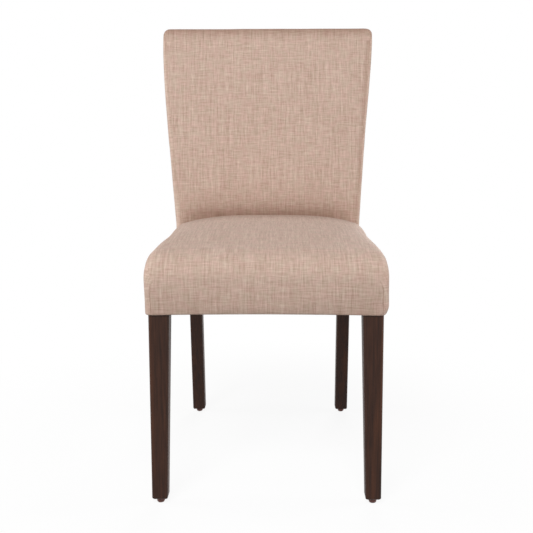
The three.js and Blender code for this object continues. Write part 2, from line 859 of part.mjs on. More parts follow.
// Sections are level at the seat and turn square to the lean over the lower half of the back.
function backSection(z) {
  const turn = back_lean * THREE.MathUtils.smoothstep(z, knee_height, (knee_height + back_top) / 2);
  const front = new THREE.Vector2(backFront(z), z);
  const way = new THREE.Vector2(Math.cos(turn), -Math.sin(turn));
  let depth = 0;
  for (let pass = 0; pass < section_passes; pass++) {
    depth = (backRear(z + depth * way.y) - front.x) / way.x;
  }
  return { front, depth, way };
}

// A rectangle with round corners and a crowned front, anticlockwise from above.
function roundedRing(half, depth, front_radius, rear_radius, crown, corner_steps, face_steps) {
  const corners = [
    [half - front_radius, front_radius, front_radius, -1],
    [half - rear_radius, depth - rear_radius, rear_radius, 0],
    [rear_radius - half, depth - rear_radius, rear_radius, 1],
    [front_radius - half, front_radius, front_radius, 2],
  ];
  const ring = [];
  for (const [x, y, radius, quarter] of corners) {
    for (let i = 0; i <= corner_steps; i++) {
      const angle = (Math.PI / 2) * (quarter + i / corner_steps);
      ring.push([x + radius * Math.cos(angle), y + radius * Math.sin(angle)]);
    }
  }
  for (let i = 1; i < face_steps; i++) {
    const across = (2 * i) / face_steps - 1;
    ring.push([across * (half - front_radius), -crown * (1 - across * across)]);
  }
  return ring;
}

// The back, drawn in by the insets. A sheet has a thickness in front of its rear inset.
function backLoft({ low, front = 0, rear = 0, side = 0, top = 0, sheet = 0 }) {
  const end = back_top - top;
  const corner = Math.max(back_top_corner_radius - side, fit_gap);
  const edge = Math.max(back_top_edge_radius - Math.max(front, top), fit_gap);
  const stations = [
    low, ...evenStations(low, knee_height - crevice_run, 1),
    ...evenStations(knee_height - crevice_run, knee_height + crevice_run, back_low_steps),
    ...evenStations(knee_height + crevice_run, end - corner, back_high_steps),
    ...roundedStations(corner, top_steps).reverse().slice(1).map((distance) => end - distance),
  ];
  const levels = stations.filter((z, i) => i === 0 || z > stations[i - 1]);
  return loft(levels.map((z) => {
    const section = backSection(z);
    const from_end = end - z;
    const ease = sheet ? 0 : roundedEdge(from_end, edge, edge);
    const start = sheet ? section.depth - rear - sheet : front + ease;
    const depth = section.depth - rear - ease - start;
    const half = backHalfWidth(z) - side - roundedEdge(from_end, corner, corner);
    const along = THREE.MathUtils.clamp((z - knee_height) / (end - knee_height), 0, 1);
    const crown = sheet ? 0 : back_crown * Math.sin(Math.PI * along);
    const rise = THREE.MathUtils.smoothstep(z, knee_height - crevice_run, knee_height + crevice_run);
    const front_radius = THREE.MathUtils.lerp(back_low_radius, back_front_radius, rise);
    const small = depth * half_share - fit_gap / 2;
    const ring = roundedRing(
      half, depth,
      Math.min(Math.max(front_radius - front, fit_gap), small),
      Math.min(Math.max(back_rear_radius - Math.max(rear, 0), fit_gap), small),
      crown, sheet ? 1 : round_steps, sheet ? 1 : crown_steps,
    );
    return ring.map(([x, behind]) => {
      const from_front = start + behind;
      return new THREE.Vector3(
        x,
        section.front.x + section.way.x * from_front,
        section.front.y + section.way.y * from_front,
      );
    });
  }));
}

const crevice_level = web_top + crevice_rise;

function backCover() {
  const outer = backLoft({ low: seat_bottom });
  const inner = backLoft({
    low: seat_bottom - cut_overrun, front: fabric_thickness, rear: fabric_thickness,
    side: fabric_thickness, top: fabric_thickness,
  });
  const rear_mouth = backLoft({
    low: seat_bottom - cut_overrun, front: front_stack, rear: -cut_overrun,
    side: rear_seam_side, top: rear_seam_drop,
  });
  const inside = seat_rear_width / 2 - fabric_thickness;
  const front_mouth = box(
    -inside, inside, seat_depth - cut_overrun, seat_depth + back_front_radius,
    seat_bottom - cut_overrun, crevice_level,
  );
  return cut(outer, inner, rear_mouth, front_mouth);
}

function rearCover() {
  return backLoft({
    low: seat_bottom, side: rear_seam_side + fit_gap, top: rear_seam_drop + fit_gap,
    sheet: fabric_thickness,
  });
}

function rearWadding() {
  return backLoft({
    low: rail_bottom, rear: skin_inset, side: side_stack + rear_seam_side,
    top: side_stack + rear_seam_drop, sheet: wadding_thickness,
  });
}

function backFoam() {
  const padding = backLoft({
    low: crevice_level, front: skin_inset, rear: rear_stack, side: skin_inset, top: skin_inset,
  });
  const frame_space = backLoft({
    low: crevice_level - cut_overrun, front: skin_inset + back_foam_thickness, rear: -cut_overrun,
    side: skin_inset + side_foam_thickness, top: skin_inset + side_foam_thickness,
  });
  return cut(padding, frame_space);
}

// Back frame: these pieces are drawn upright, with Y = 0 on the front face, and lean with the back

// The frame's half width at a height up the lean, taken at the rear edge of its boards.
function frameHalfWidth(up) {
  return backHalfWidth(onBack(up, post_top_depth).y) - side_stack;
}

// The crest rail is as deep as the posts would be at its top edge.
function crestDepth() {
  const level = onBack(crest_top, 0);
  const rear = new THREE.Vector2(postRear(level.y), level.y);
  return (rear.x - level.x) * Math.cos(back_lean) - rail_setback;
}

function crestRail() {
  const low = frameHalfWidth(crest_bottom);
  const high = frameHalfWidth(crest_top);
  const radius = back_top_corner_radius - skin_inset;
  const face = new THREE.Shape();
  face.moveTo(-low, crest_bottom);
  face.lineTo(low, crest_bottom);
  face.lineTo(high, crest_top - radius);
  face.quadraticCurveTo(high, crest_top, high - radius, crest_top);
  face.lineTo(radius - high, crest_top);
  face.quadraticCurveTo(-high, crest_top, -high, crest_top - radius);
  face.closePath();
  const depth = crestDepth();
  const rail = new THREE.ExtrudeGeometry(face, {
    depth, curveSegments: round_steps, bevelEnabled: false,
  });
  rail.rotateX(Math.PI / 2).translate(0, depth, 0);
  return cut(rail, ...bothSides(postTenon(fit_gap)));
}

function lowerBackRail() {
  const half = post_inner - fit_gap;
  const top = lower_rail_rise + lower_rail_height;
  const rail = box(-half, half, 0, lower_rail_depth, lower_rail_rise, top);
  return join(rail, ...bothSides(lowerRailTenon(0)));
}

function cheek() {
  const inner = post_outer + fit_gap;
  const top = crest_bottom - fit_gap;
  const face = new THREE.Shape();
  face.moveTo(inner, cheek_rise);
  face.lineTo(frameHalfWidth(cheek_rise), cheek_rise);
  face.lineTo(frameHalfWidth(top), top);
  face.lineTo(inner, top);
  face.closePath();
  return upright(face, 0, post_top_depth - rail_setback);
}

function backPanel() {
  const low = lower_rail_rise;
  const high = crest_top - back_top_corner_radius;
  const low_half = frameHalfWidth(low) - panel_edge_margin;
  const high_half = frameHalfWidth(high) - panel_edge_margin;
  const face = new THREE.Shape();
  face.moveTo(-low_half, low);
  face.lineTo(low_half, low);
  face.lineTo(high_half, high);
  face.lineTo(-high_half, high);
  face.closePath();
  return upright(face, -panel_thickness - fit_gap, -fit_gap);
}

// Assembly

const chair = new THREE.Group();
const leaning = new THREE.Group();
leaning.rotation.x = -back_lean;
leaning.position.set(0, knee_y, knee_height);
chair.add(leaning);

function add(group, name, geometry, material) {
  const mesh = new THREE.Mesh(geometry, material);
  mesh.name = name;
  group.add(mesh);
  return mesh;
}

// The geometry is the right-hand piece, and the left-hand one is its mirror image.
function addPair(group, name, geometry, material) {
  add(group, `${name}_right`, geometry, material);
  add(group, `${name}_left`, geometry, material).scale.x = -1;
}

addPair(chair, "front_leg", frontLeg(), dark_wood);
addPair(chair, "rear_post", rearPost(), dark_wood);
addPair(chair, "front_glide", glide(front_foot), brown_plastic);
addPair(chair, "rear_glide", glide(rear_foot), brown_plastic);

add(chair, "front_seat_rail", frontRail(), hardwood);
add(chair, "rear_seat_rail", rearRail(), hardwood);
addPair(chair, "side_seat_rail", sideRail(), hardwood);
addPair(chair, "front_corner_block", cornerBlock(front_block_plan, front_screws, lagPilot()), hardwood);
addPair(chair, "rear_corner_block", cornerBlock(rear_block_plan, rear_screws), hardwood);

for (const [place, screws] of [["front", front_screws], ["rear", rear_screws]]) {
  addPair(chair, `${place}_block_rail_screw`, screw(screws[0]), steel);
  addPair(chair, `${place}_block_side_screw`, screw(screws[1]), steel);
}
addPair(chair, "leg_lag_screw", lagScrew(), steel);
addPair(chair, "leg_lag_washer", lagWasher(), steel);

for (const [place, level] of [["lower", bolt_levels[0]], ["upper", bolt_levels[1]]]) {
  addPair(chair, `${place}_post_bolt`, bolt(level), steel);
  addPair(chair, `${place}_post_nut`, nut(level), steel);
}

for (let i = 0; i < strap_count; i++) {
  const step = i - (strap_count - 1) / 2;
  const over = i % 2 === 0 ? 1 : -1;
  add(chair, `long_strap_${i + 1}`, longStrap(step * pitch_x, over), web_cloth);
  const y = span_front + (i + half_share) * pitch_y;
  add(chair, `cross_strap_${i + 1}`, crossStrap(y, -over), web_cloth);
}

add(chair, "seat_foam", seatFoam(), foam);
add(chair, "seat_cover", seatCover(), linen);
add(chair, "dust_cover", dustCover(), black_cloth);

add(leaning, "crest_rail", crestRail(), hardwood);
add(leaning, "lower_back_rail", lowerBackRail(), hardwood);
addPair(leaning, "back_cheek", cheek(), hardwood);
add(leaning, "back_panel", backPanel(), plywood);
add(chair, "back_foam", backFoam(), foam);
add(chair, "back_wadding", rearWadding(), fibre);
add(chair, "back_cover", backCover(), linen);
add(chair, "back_cover_rear", rearCover(), linen);

const overall_depth = Math.max(foot_rear, backRear(back_top));
chair.position.y = -overall_depth / 2;

export default chair;
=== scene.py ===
# %% [markdown]
# # An upholstered parsons chair
# The frame, legs, rails, webbing and screws come from the CAD model and keep their shape.
# Here the chair gets what CAD does badly: the fitted fabric covers, the padding under
# them, the dust cloth with its staples, and a finish for every surface.
# Lengths are in metres. The chair faces -Y and stands on Z = 0.

# %% Load the frame
import json
import math
import random

import bmesh
import bpy
from mathutils import Euler, Matrix, Quaternion, Vector, noise
from mathutils.bvhtree import BVHTree


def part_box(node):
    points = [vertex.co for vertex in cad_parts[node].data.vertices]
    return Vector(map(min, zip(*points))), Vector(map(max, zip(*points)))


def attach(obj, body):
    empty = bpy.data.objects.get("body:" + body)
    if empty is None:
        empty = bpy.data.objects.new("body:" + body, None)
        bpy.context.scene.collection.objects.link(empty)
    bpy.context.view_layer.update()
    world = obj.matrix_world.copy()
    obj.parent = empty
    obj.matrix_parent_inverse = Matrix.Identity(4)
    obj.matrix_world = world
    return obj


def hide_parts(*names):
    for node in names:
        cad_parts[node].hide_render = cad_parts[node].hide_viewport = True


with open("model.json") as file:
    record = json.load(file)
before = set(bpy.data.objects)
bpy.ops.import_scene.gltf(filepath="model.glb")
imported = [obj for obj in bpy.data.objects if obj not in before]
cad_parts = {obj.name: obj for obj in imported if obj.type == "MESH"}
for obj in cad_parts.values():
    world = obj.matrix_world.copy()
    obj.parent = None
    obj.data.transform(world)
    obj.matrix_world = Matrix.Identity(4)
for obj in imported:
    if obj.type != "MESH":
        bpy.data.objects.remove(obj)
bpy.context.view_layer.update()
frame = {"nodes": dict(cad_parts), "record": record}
scene = bpy.context.scene

# %% [markdown]
# ## Camera
# A product picture of a chair is taken from a little above the seat with a fairly long
# lens, so that the legs stay parallel. The camera could be aimed with a Track To
# constraint, but a fixed tilt, turn and roll repeats the same view on every run. The small
# shift puts the middle of the lens where the picture has it.

# %% Camera
camera_data = bpy.data.cameras.new("camera")
camera_data.sensor_width = 36
camera_data.lens = 57.83
camera_data.shift_x = -0.0066
camera_data.shift_y = -0.0354
camera = bpy.data.objects.new("camera", camera_data)
scene.collection.objects.link(camera)
scene.camera = camera

camera.location = (0.0283, -1.8486, 0.7131)
camera_tilt = math.radians(7.7813)
camera_turn = math.radians(0.742)
camera_roll = math.radians(-0.1473)
level = Euler((math.pi / 2 - camera_tilt, 0, camera_turn)).to_quaternion()
camera.rotation_euler = (level @ Quaternion((0, 0, 1), camera_roll)).to_euler()
print("camera at", tuple(round(value, 3) for value in camera.location))

# %% [markdown]
# ## Writing a finish as sums
# A material is a graph of nodes. Drawn by hand it is easy to read but slow to build in
# code, so two small classes help. `Value` wraps a socket and turns Python's +, - and * into
# Math nodes. `Finish` holds one node tree, and its `node` method makes any other node from
# its type, its settings and its sockets.

# %% Values and finishes
class Value:
    """One output socket. Arithmetic on it adds Math nodes."""

    def __init__(self, finish, made, out=None):
        self.finish = finish
        self.made = made
        fits = [s for s in made.outputs if s.enabled and out in (None, s.name)]
        self.socket = fits[0]

    def out(self, name):
        return Value(self.finish, self.made, name)

    def maths(self, operation, *values):
        return self.finish.node("ShaderNodeMath", {"operation": operation}, dict(enumerate(values)))

    def __add__(self, other):
        return self.maths("ADD", self, other)

    def __radd__(self, other):
        return self.maths("ADD", other, self)

    def __sub__(self, other):
        return self.maths("SUBTRACT", self, other)

    def __rsub__(self, other):
        return self.maths("SUBTRACT", other, self)

    def __mul__(self, other):
        return self.maths("MULTIPLY", self, other)

    def __rmul__(self, other):
        return self.maths("MULTIPLY", other, self)

    def sine(self):
        return self.maths("SINE", self)

    def between(self, low, high):
        """0 below low, 1 above high, and smooth in between."""
        return self.finish.node(
            "ShaderNodeMapRange", {"interpolation_type": "SMOOTHSTEP"},
            {"Value": self, "From Min": low, "From Max": high},
        )


class Finish:
    """One node tree, built from calls."""

    def __init__(self, owner):
        owner.use_nodes = True
        self.owner = owner
        self.tree = owner.node_tree
        self.tree.nodes.clear()

    def node(self, kind, settings=None, sockets=None, out=None):
        made = self.tree.nodes.new(kind)
        for key, setting in (settings or {}).items():
            if key == "stops":
                self.set_stops(made.color_ramp.elements, setting)
            else:
                setattr(made, key, setting)
        for key, value in (sockets or {}).items():
            socket = made.inputs[key] if isinstance(key, int) else next(
                s for s in made.inputs if s.name == key and s.enabled)
            if isinstance(value, Value):
                self.tree.links.new(value.socket, socket)
            else:
                socket.default_value = value
        return Value(self, made, out) if made.outputs else made

    def set_stops(self, elements, stops):
        while len(elements) < len(stops):
            elements.new(1.0)
        for element, (place, colour) in zip(elements, stops):
            element.position = place
            element.color = (*colour, 1)

    def place(self, scale=(1, 1, 1)):
        """Object coordinates, scaled by a Mapping node."""
        spot = self.node("ShaderNodeTexCoord", out="Object")
        return self.node("ShaderNodeMapping", {}, {"Vector": spot, "Scale": scale})

    def noise(self, vector, scale=1.0, detail=2.0, roughness=0.5):
        return self.node("ShaderNodeTexNoise", {}, {
            "Vector": vector, "Scale": scale, "Detail": detail, "Roughness": roughness}, "Fac")

    def ramp(self, value, *stops):
        return self.node("ShaderNodeValToRGB", {"stops": stops}, {"Fac": value}, "Color")

    def mix(self, share, one, other):
        return self.node("ShaderNodeMix", {"data_type": "RGBA"}, {
            "Factor": share, "A": one, "B": other}, "Result")

    def times(self, one, other):
        return self.node("ShaderNodeMix", {"data_type": "RGBA", "blend_type": "MULTIPLY"}, {
            "Factor": 1.0, "A": one, "B": other}, "Result")

    def bump(self, height, distance, strength=1.0):
        return self.node("ShaderNodeBump", {}, {
            "Height": height, "Distance": distance, "Strength": strength}, "Normal")

    def surface(self, **sockets):
        """The finished surface. Socket names are written with underscores."""
        named = {key.replace("_", " "): value for key, value in sockets.items()}
        shader = self.node("ShaderNodeBsdfPrincipled", {}, named)
        self.node("ShaderNodeOutputMaterial", {}, {"Surface": shader})
        return self.owner


def new_finish(name):
    return Finish(bpy.data.materials.new(name))


def paint(red, green, blue):
    """A colour written as it looks on screen, from 0 to 255, made linear."""
    shares = [value / 255 for value in (red, green, blue)]
    return tuple(((s + 0.055) / 1.055) ** 2.4 if s > 0.04 else s / 12.92 for s in shares)


# %% [markdown]
# ## Studio
# The chair stands on a seamless white floor. More light would whiten the floor but also
# burn out the fabric, so the white comes from Light Path instead: rays from the camera see
# white, while the chair is lit at a plain level. Close to the chair the floor keeps a
# share of its real shading, which leaves a faint shadow under the legs. From below the
# floor is clear, so that the underside can be looked at too.

# %% White world
scene.view_settings.view_transform = "Standard"
world = bpy.data.worlds.new("white studio")
scene.world = world
studio = Finish(world)
path = studio.node("ShaderNodeLightPath")
seen = path.out("Is Camera Ray") + path.out("Is Glossy Ray") + path.out("Is Transmission Ray")
ambient = studio.node("ShaderNodeBackground", {}, {"Color": (1, 1, 1, 1), "Strength": 0.11})
white = studio.node("ShaderNodeBackground", {}, {"Color": (1, 1, 1, 1), "Strength": 1.0})
sky = studio.node("ShaderNodeMixShader", {}, {0: seen, 1: ambient, 2: white})
studio.node("ShaderNodeOutputWorld", {}, {"Surface": sky})

# %% Floor
floor_mesh = bmesh.new()
bmesh.ops.create_circle(floor_mesh, cap_ends=True, segments=96, radius=6)
floor_data = bpy.data.meshes.new("floor")
floor_mesh.to_mesh(floor_data)
floor_mesh.free()
floor = bpy.data.objects.new("floor", floor_data)
scene.collection.objects.link(floor)

shadow_near, shadow_far, shadow_share = 0.45, 1.1, 0.10
backdrop = new_finish("white floor")
path = backdrop.node("ShaderNodeLightPath")
seen = path.out("Is Camera Ray") + path.out("Is Glossy Ray")
spot = backdrop.node("ShaderNodeTexCoord", out="Object")
reach = backdrop.node("ShaderNodeVectorMath", {"operation": "LENGTH"}, {0: spot}, "Value")
shade = (1 - reach.between(shadow_near, shadow_far)) * shadow_share
matt = backdrop.node("ShaderNodeBsdfDiffuse", {}, {"Color": (0.9, 0.9, 0.9, 1)})
bounce = backdrop.node("ShaderNodeBsdfDiffuse", {}, {"Color": (0.3, 0.3, 0.3, 1)})
glow = backdrop.node("ShaderNodeEmission", {}, {"Color": (1, 1, 1, 1), "Strength": 1.0})
shown = backdrop.node("ShaderNodeMixShader", {}, {0: shade, 1: glow, 2: matt})
above = backdrop.node("ShaderNodeMixShader", {}, {0: seen, 1: bounce, 2: shown})
below = backdrop.node("ShaderNodeNewGeometry", out="Backfacing")
clear = backdrop.node("ShaderNodeBsdfTransparent", {}, {"Color": (1, 1, 1, 1)})
whole = backdrop.node("ShaderNodeMixShader", {}, {0: below, 1: above, 2: clear})
backdrop.node("ShaderNodeOutputMaterial", {}, {"Surface": whole})
floor_data.materials.append(backdrop.owner)


# %% [markdown]
# ## Lamps
# One large softbox hangs high in front of the chair, as in a catalogue studio. It lights
# the leaning back most, the seat next and the upright front least. Lamps at both sides and
# behind light the faces that the front one can't reach.

# %% Lamps
def softbox(name, place, aim_at, width, height, watts):
    data = bpy.data.lights.new(name, "AREA")
    data.shape = "RECTANGLE"
    data.size = width
    data.size_y = height
    data.energy = watts
    lamp = bpy.data.objects.new(name, data)
    lamp.location = place
    lamp.rotation_euler = (Vector(aim_at) - Vector(place)).to_track_quat("-Z", "Y").to_euler()
    scene.collection.objects.link(lamp)


softbox("key lamp", (-0.5, -2.95, 2.9), (0, 0, 0.45), 2.2, 1.6, 122)
softbox("left lamp", (-2.5, 0.1, 0.68), (0, 0, 0.5), 1.2, 1.0, 28)
softbox("right lamp", (2.5, 0.0, 0.62), (0, 0, 0.5), 1.2, 1.0, 31)
softbox("rear lamp", (0.4, 3.1, 1.3), (0, 0, 0.55), 1.8, 1.4, 60)

# %% [markdown]
# ## Linen
# The cover is a plain-weave linen look. Its yarns vary in thickness, so light and dark
# slubs run up and across the cloth, and slow patches lean to pink or to grey. A picture of
# cloth would do this too, but noise read from the piece's own UV map follows the cut of
# each panel. The map is in metres, so the yarn has its real size everywhere.

# %% Linen finish
yarn = 0.0011


def linen_finish(name, light, middle, dark, warm, cool, shade_tint):
    finish = new_finish(name)
    cloth = finish.node("ShaderNodeUVMap", {"uv_map": "cloth"})
    apart = finish.node("ShaderNodeSeparateXYZ", {}, {0: cloth}, "X")
    across, along = apart.out("X"), apart.out("Y")

    def streaks(wide, long, shift=0.0):
        """Noise with so many waves per metre across the cloth and along it."""
        grain = {0: across * wide + shift, 1: along * long}
        return finish.noise(finish.node("ShaderNodeCombineXYZ", {}, grain), 1.0, 2.0)

    upright = streaks(520, 40) * 0.55 + streaks(260, 9, 40) * 0.45
    level = streaks(48, 520, 90) * 0.65 + streaks(16, 260, 70) * 0.35
    tone = upright * 0.55 + level * 0.45
    colour = finish.ramp(tone, (0.37, dark), (0.5, middle), (0.63, light))
    patches = finish.noise(cloth, 60, 3.0).between(0.32, 0.68)
    tint = finish.mix(patches, (*warm, 1), (*cool, 1))
    tinted = finish.times(colour, tint)
    # Painted shade: the "fold" attribute darkens the colour in the pleats, along the seams, in the
    # crevice and on the hems, where shade falls.
    painted_shade = finish.node("ShaderNodeAttribute", {"attribute_name": "fold"}, out="Fac")
    shaded_colour = finish.times(tinted, finish.mix(painted_shade, (1, 1, 1, 1), (*shade_tint, 1)))

    turns = math.pi / yarn
    weave = (across * turns).sine() * (along * turns).sine()
    height = weave * 0.35 + tone * 2.2
    return finish.surface(
        Base_Color=shaded_colour, Roughness=0.88, Normal=finish.bump(height, 0.0004, 0.9),
        Sheen_Weight=0.15, Sheen_Roughness=0.5, Specular_IOR_Level=0.3,
    )


# The last colour is the one that painted shade darkens the cloth towards.
linen = linen_finish(
    "linen",
    light=paint(223, 200, 186), middle=paint(204, 177, 162), dark=paint(181, 153, 137),
    warm=(1.0, 0.955, 0.955), cool=(0.975, 1.0, 0.965), shade_tint=(0.60, 0.50, 0.45),
)

# %% [markdown]
# ## Wood
# The legs are stained nearly black and sealed, so the grain shows only as faint brown
# streaks under a soft gloss. Stretching noise along the board's length gives grain from
# any side, which a flat picture could not. The hidden frame is pale, unsealed wood.

# %% Wood finishes
def wood_finish(name, dark, light, patch, grain, roughness, coat):
    finish = new_finish(name)
    fibres = finish.noise(finish.place(grain), 1.0, 5.0, 0.6)
    slow = finish.noise(finish.place(tuple(g * 0.2 for g in grain)), 1.0, 3.0)
    stain = finish.ramp(fibres, (0.35, dark), (0.7, light))
    colour = finish.mix(slow.between(0.5, 0.75) * 0.6, stain, (*patch, 1))
    return finish.surface(
        Base_Color=colour, Roughness=fibres * 0.16 + (roughness - 0.08),
        Normal=finish.bump(fibres, 0.0003, 0.5), Coat_Weight=coat, Coat_Roughness=0.25,
        Specular_IOR_Level=0.22,
    )


stained_wood = wood_finish(
    "stained wood", paint(41, 24, 17), paint(68, 42, 31), paint(92, 57, 40),
    (260, 260, 14), 0.5, 0.02)
frame_wood = wood_finish(
    "frame wood", paint(176, 134, 88), paint(206, 168, 120), paint(190, 146, 98),
    (14, 260, 260), 0.72, 0.0)

# %% Plywood finish
plywood_sheet = new_finish("plywood")
figure = plywood_sheet.noise(plywood_sheet.place((60, 300, 7)), 1.0, 4.0)
plywood = plywood_sheet.surface(
    Base_Color=plywood_sheet.ramp(
        figure, (0.3, paint(186, 148, 98)), (0.7, paint(222, 190, 142))),
    Roughness=0.75, Normal=plywood_sheet.bump(figure, 0.0003, 0.4),
)

# %% [markdown]
# ## Padding, webbing and metal
# These are hidden when the chair is whole, but a reader may take it apart. Foam has tiny
# open cells, so a Voronoi pattern gives its bump. Webbing has coloured stripes along its
# length, and zinc-plated steel has a faint crystal pattern.

# %% Foam and wadding finishes
def padding_finish(name, light, dark, cell, depth):
    finish = new_finish(name)
    cells = finish.node("ShaderNodeTexVoronoi", {}, {
        "Vector": finish.place(), "Scale": 1 / cell}, "Distance")
    age = finish.noise(finish.place(), 9, 3.0)
    return finish.surface(
        Base_Color=finish.ramp(age, (0.3, dark), (0.7, light)), Roughness=0.95,
        Normal=finish.bump(cells, depth, 0.8),
    )


foam = padding_finish("foam", paint(238, 226, 184), paint(224, 206, 154), 0.0025, 0.0006)
wadding = padding_finish("wadding", paint(242, 240, 233), paint(228, 225, 215), 0.006, 0.0015)


# %% Webbing finishes
stripe_pitch, rib_pitch = 0.0166, 0.0012


def webbing_finish(name, width_axis):
    finish = new_finish(name)
    spot = finish.node("ShaderNodeTexCoord", out="Object")
    apart = finish.node("ShaderNodeSeparateXYZ", {}, {0: spot}, "X")
    wide, long = apart.out("X"), apart.out("Y")
    if width_axis == "Y":
        wide, long = long, wide
    stripe = (wide * (2 * math.pi / stripe_pitch)).sine().between(0.35, 0.65)
    rib = (wide * (math.pi / rib_pitch)).sine() * (long * (math.pi / rib_pitch)).sine()
    fuzz = finish.noise(finish.place((300, 300, 300)), 1.0, 2.0)
    jute = finish.ramp(fuzz, (0.3, paint(120, 99, 72)), (0.7, paint(156, 134, 101)))
    return finish.surface(
        Base_Color=finish.mix(stripe, jute, (*paint(86, 52, 42), 1)), Roughness=0.9,
        Normal=finish.bump(rib, 0.0003, 0.8),
    )


long_webbing = webbing_finish("webbing lengthwise", "X")
cross_webbing = webbing_finish("webbing crosswise", "Y")

# %% Metal, plastic and dust cloth finishes
zinc = new_finish("zinc steel")
crystals = zinc.node("ShaderNodeTexVoronoi", {}, {"Vector": zinc.place(), "Scale": 500}, "Color")
dull = zinc.noise(zinc.place(), 260, 3.0)
zinc_steel = zinc.surface(
    Base_Color=zinc.mix(zinc.node("ShaderNodeSeparateColor", {}, {0: crystals}, "Red") * 0.5,
                        (*paint(188, 190, 193), 1), (*paint(160, 163, 168), 1)),
    Metallic=1.0, Roughness=dull * 0.25 + 0.25,
)

moulded = new_finish("glide plastic")
speckle = moulded.noise(moulded.place(), 420, 3.0)
glide_plastic = moulded.surface(
    Base_Color=moulded.ramp(speckle, (0.3, paint(84, 45, 38)), (0.7, paint(112, 64, 53))),
    Roughness=speckle * 0.2 + 0.4, Normal=moulded.bump(speckle, 0.0001, 0.4),
)

spun = new_finish("dust cloth")
fibre = spun.noise(spun.place((900, 900, 900)), 1.0, 3.0)
dimples = spun.node("ShaderNodeTexVoronoi", {}, {"Vector": spun.place(), "Scale": 620}, "Distance")
dust_cloth = spun.surface(
    Base_Color=spun.ramp(fibre, (0.3, paint(24, 24, 25)), (0.7, paint(46, 46, 48))),
    Roughness=0.92, Normal=spun.bump(dimples, 0.0004, 0.8),
)

# %% Give every CAD node its finish
finish_of_slot = {
    "linen": linen, "stained_wood": stained_wood, "frame_wood": frame_wood,
    "plywood": plywood, "foam": foam, "wadding": wadding, "webbing": long_webbing,
    "dust_cloth": dust_cloth, "zinc_steel": zinc_steel, "glide_plastic": glide_plastic,
}
slot_of_node = {part["node"]: part["material_slot"] for part in frame["record"]["subparts"]}
for name, part in frame["nodes"].items():
    slot = slot_of_node[name]
    chosen = cross_webbing if name.startswith("cross_strap") else finish_of_slot[slot]
    part.data.materials.clear()
    part.data.materials.append(chosen)
print("finished", len(frame["nodes"]), "CAD nodes")

# %% [markdown]
# ## Sizes that the covers share with the frame
# The covers follow the same curves as the CAD solids that they stand for. Each curve is a
# short formula, so the cloth can be as fine as it needs while it stays in its place.

# %% Sizes
front_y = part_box("seat_cover")[0].y
bottom_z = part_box("seat_cover")[0].z
side_height = 0.119
knee_z = bottom_z + side_height
seat_depth = 0.432
fit_gap = 0.0003
seat_end = seat_depth - fit_gap
seat_front_half, seat_rear_half = 0.230, 0.21425
back_top_half = 0.24775
lean = math.radians(10.5)
rake = math.radians(10)
cloth_thickness = 0.0015


def eased(distance, run, drop):
    """How far a rounded edge has drawn in, at a distance from its end."""
    left = 1 - min(max(distance, 0) / run, 1)
    return drop * (1 - math.sqrt(max(1 - left * left, 0)))


def ramped(value, low, high):
    """0 below low, 1 above high, and smooth in between."""
    share = min(max((value - low) / (high - low), 0), 1)
    return share * share * (3 - 2 * share)


def bend(rise, below, above, run):
    """A line that turns from one slope to another over a run each way."""
    if rise <= -run:
        return -rise * below
    if rise >= run:
        return rise * above
    share = (rise + run) / (2 * run)
    return run * (below * (1 - share) ** 2 + above * share ** 2)


def arc_share(out, up):
    """What brings a point of a square corner onto the arc that rounds the corner."""
    return max(out, up) / math.hypot(out, up)


# %% [markdown]
# ## A panel with rings
# Both covers are one front panel with a skirt that runs back from its left, top and right
# edges. A grid operator makes the panel and an edge extrusion makes each ring of the
# skirt. Every vertex keeps its column, row and ring in layers of whole numbers, so that a
# formula can then put it on the surface. A fourth layer marks the turned-under hem. A
# subdivided box would be quicker, but its quads would not follow the seams.

# %% Panel helpers
fold_radius = 0.0012
mark_names = ("column", "row", "ring", "hem")


def extruded(panel, edges):
    """Extrudes edges, and gives the new edges and the new vertices."""
    grown = bmesh.ops.extrude_edge_only(panel, edges=edges)["geom"]
    return ([part for part in grown if isinstance(part, bmesh.types.BMEdge)],
            [part for part in grown if isinstance(part, bmesh.types.BMVert)])


def panel_with_rings(columns, rows, rings):
    panel = bmesh.new()
    bmesh.ops.create_grid(panel, x_segments=columns, y_segments=rows, size=0.5)
    layers = {key: panel.verts.layers.int.new(key) for key in mark_names}
    for vert in panel.verts:
        vert[layers["column"]] = round((vert.co.x + 0.5) * columns)
        vert[layers["row"]] = round((vert.co.y + 0.5) * rows)
    low = layers["row"]
    rim = [e for e in panel.edges if e.is_boundary and any(v[low] > 0 for v in e.verts)]
    for ring in range(rings):
        rim, grown = extruded(panel, rim)
        for vert in grown:
            vert[layers["ring"]] = ring + 1
    return panel, layers


def keys_of(vert, layers):
    return vert[layers["column"]], vert[layers["row"]], vert[layers["ring"]]


def turn_hem(panel, layers, end_point, wanted):
    """Turns the lower edge under: a tight fold, then a flap that reaches end_point."""
    edge = [e for e in panel.edges if e.is_boundary
            and all(v[layers["row"]] == 0 and wanted(v) for v in e.verts)]
    for hem in (1, 2):
        edge, grown = extruded(panel, edge)
        for vert in grown:
            vert[layers["hem"]] = hem
            end = end_point(vert.co)
            if hem == 1:
                end = vert.co + (end - vert.co).normalized() * fold_radius
                end.z -= fold_radius
            vert.co = end


def lay_cloth(panel, place_in_cloth):
    """Writes the UV map "cloth", in metres, from a function of a face and its vertex."""
    weave = panel.loops.layers.uv.new("cloth")
    for face in panel.faces:
        for loop in face.loops:
            loop[weave].uv = place_in_cloth(face, loop.vert)


def make_piece(name, panel, material):
    data = bpy.data.meshes.new(name)
    panel.to_mesh(data)
    panel.free()
    data.materials.append(material)
    piece = bpy.data.objects.new(name, data)
    scene.collection.objects.link(piece)
    for face in data.polygons:
        face.use_smooth = True
    print(name, len(data.vertices), "vertices", len(data.polygons), "faces")
    return piece


def in_front_panel(face, layers):
    return all(vert[layers["ring"]] == 0 for vert in face.verts)


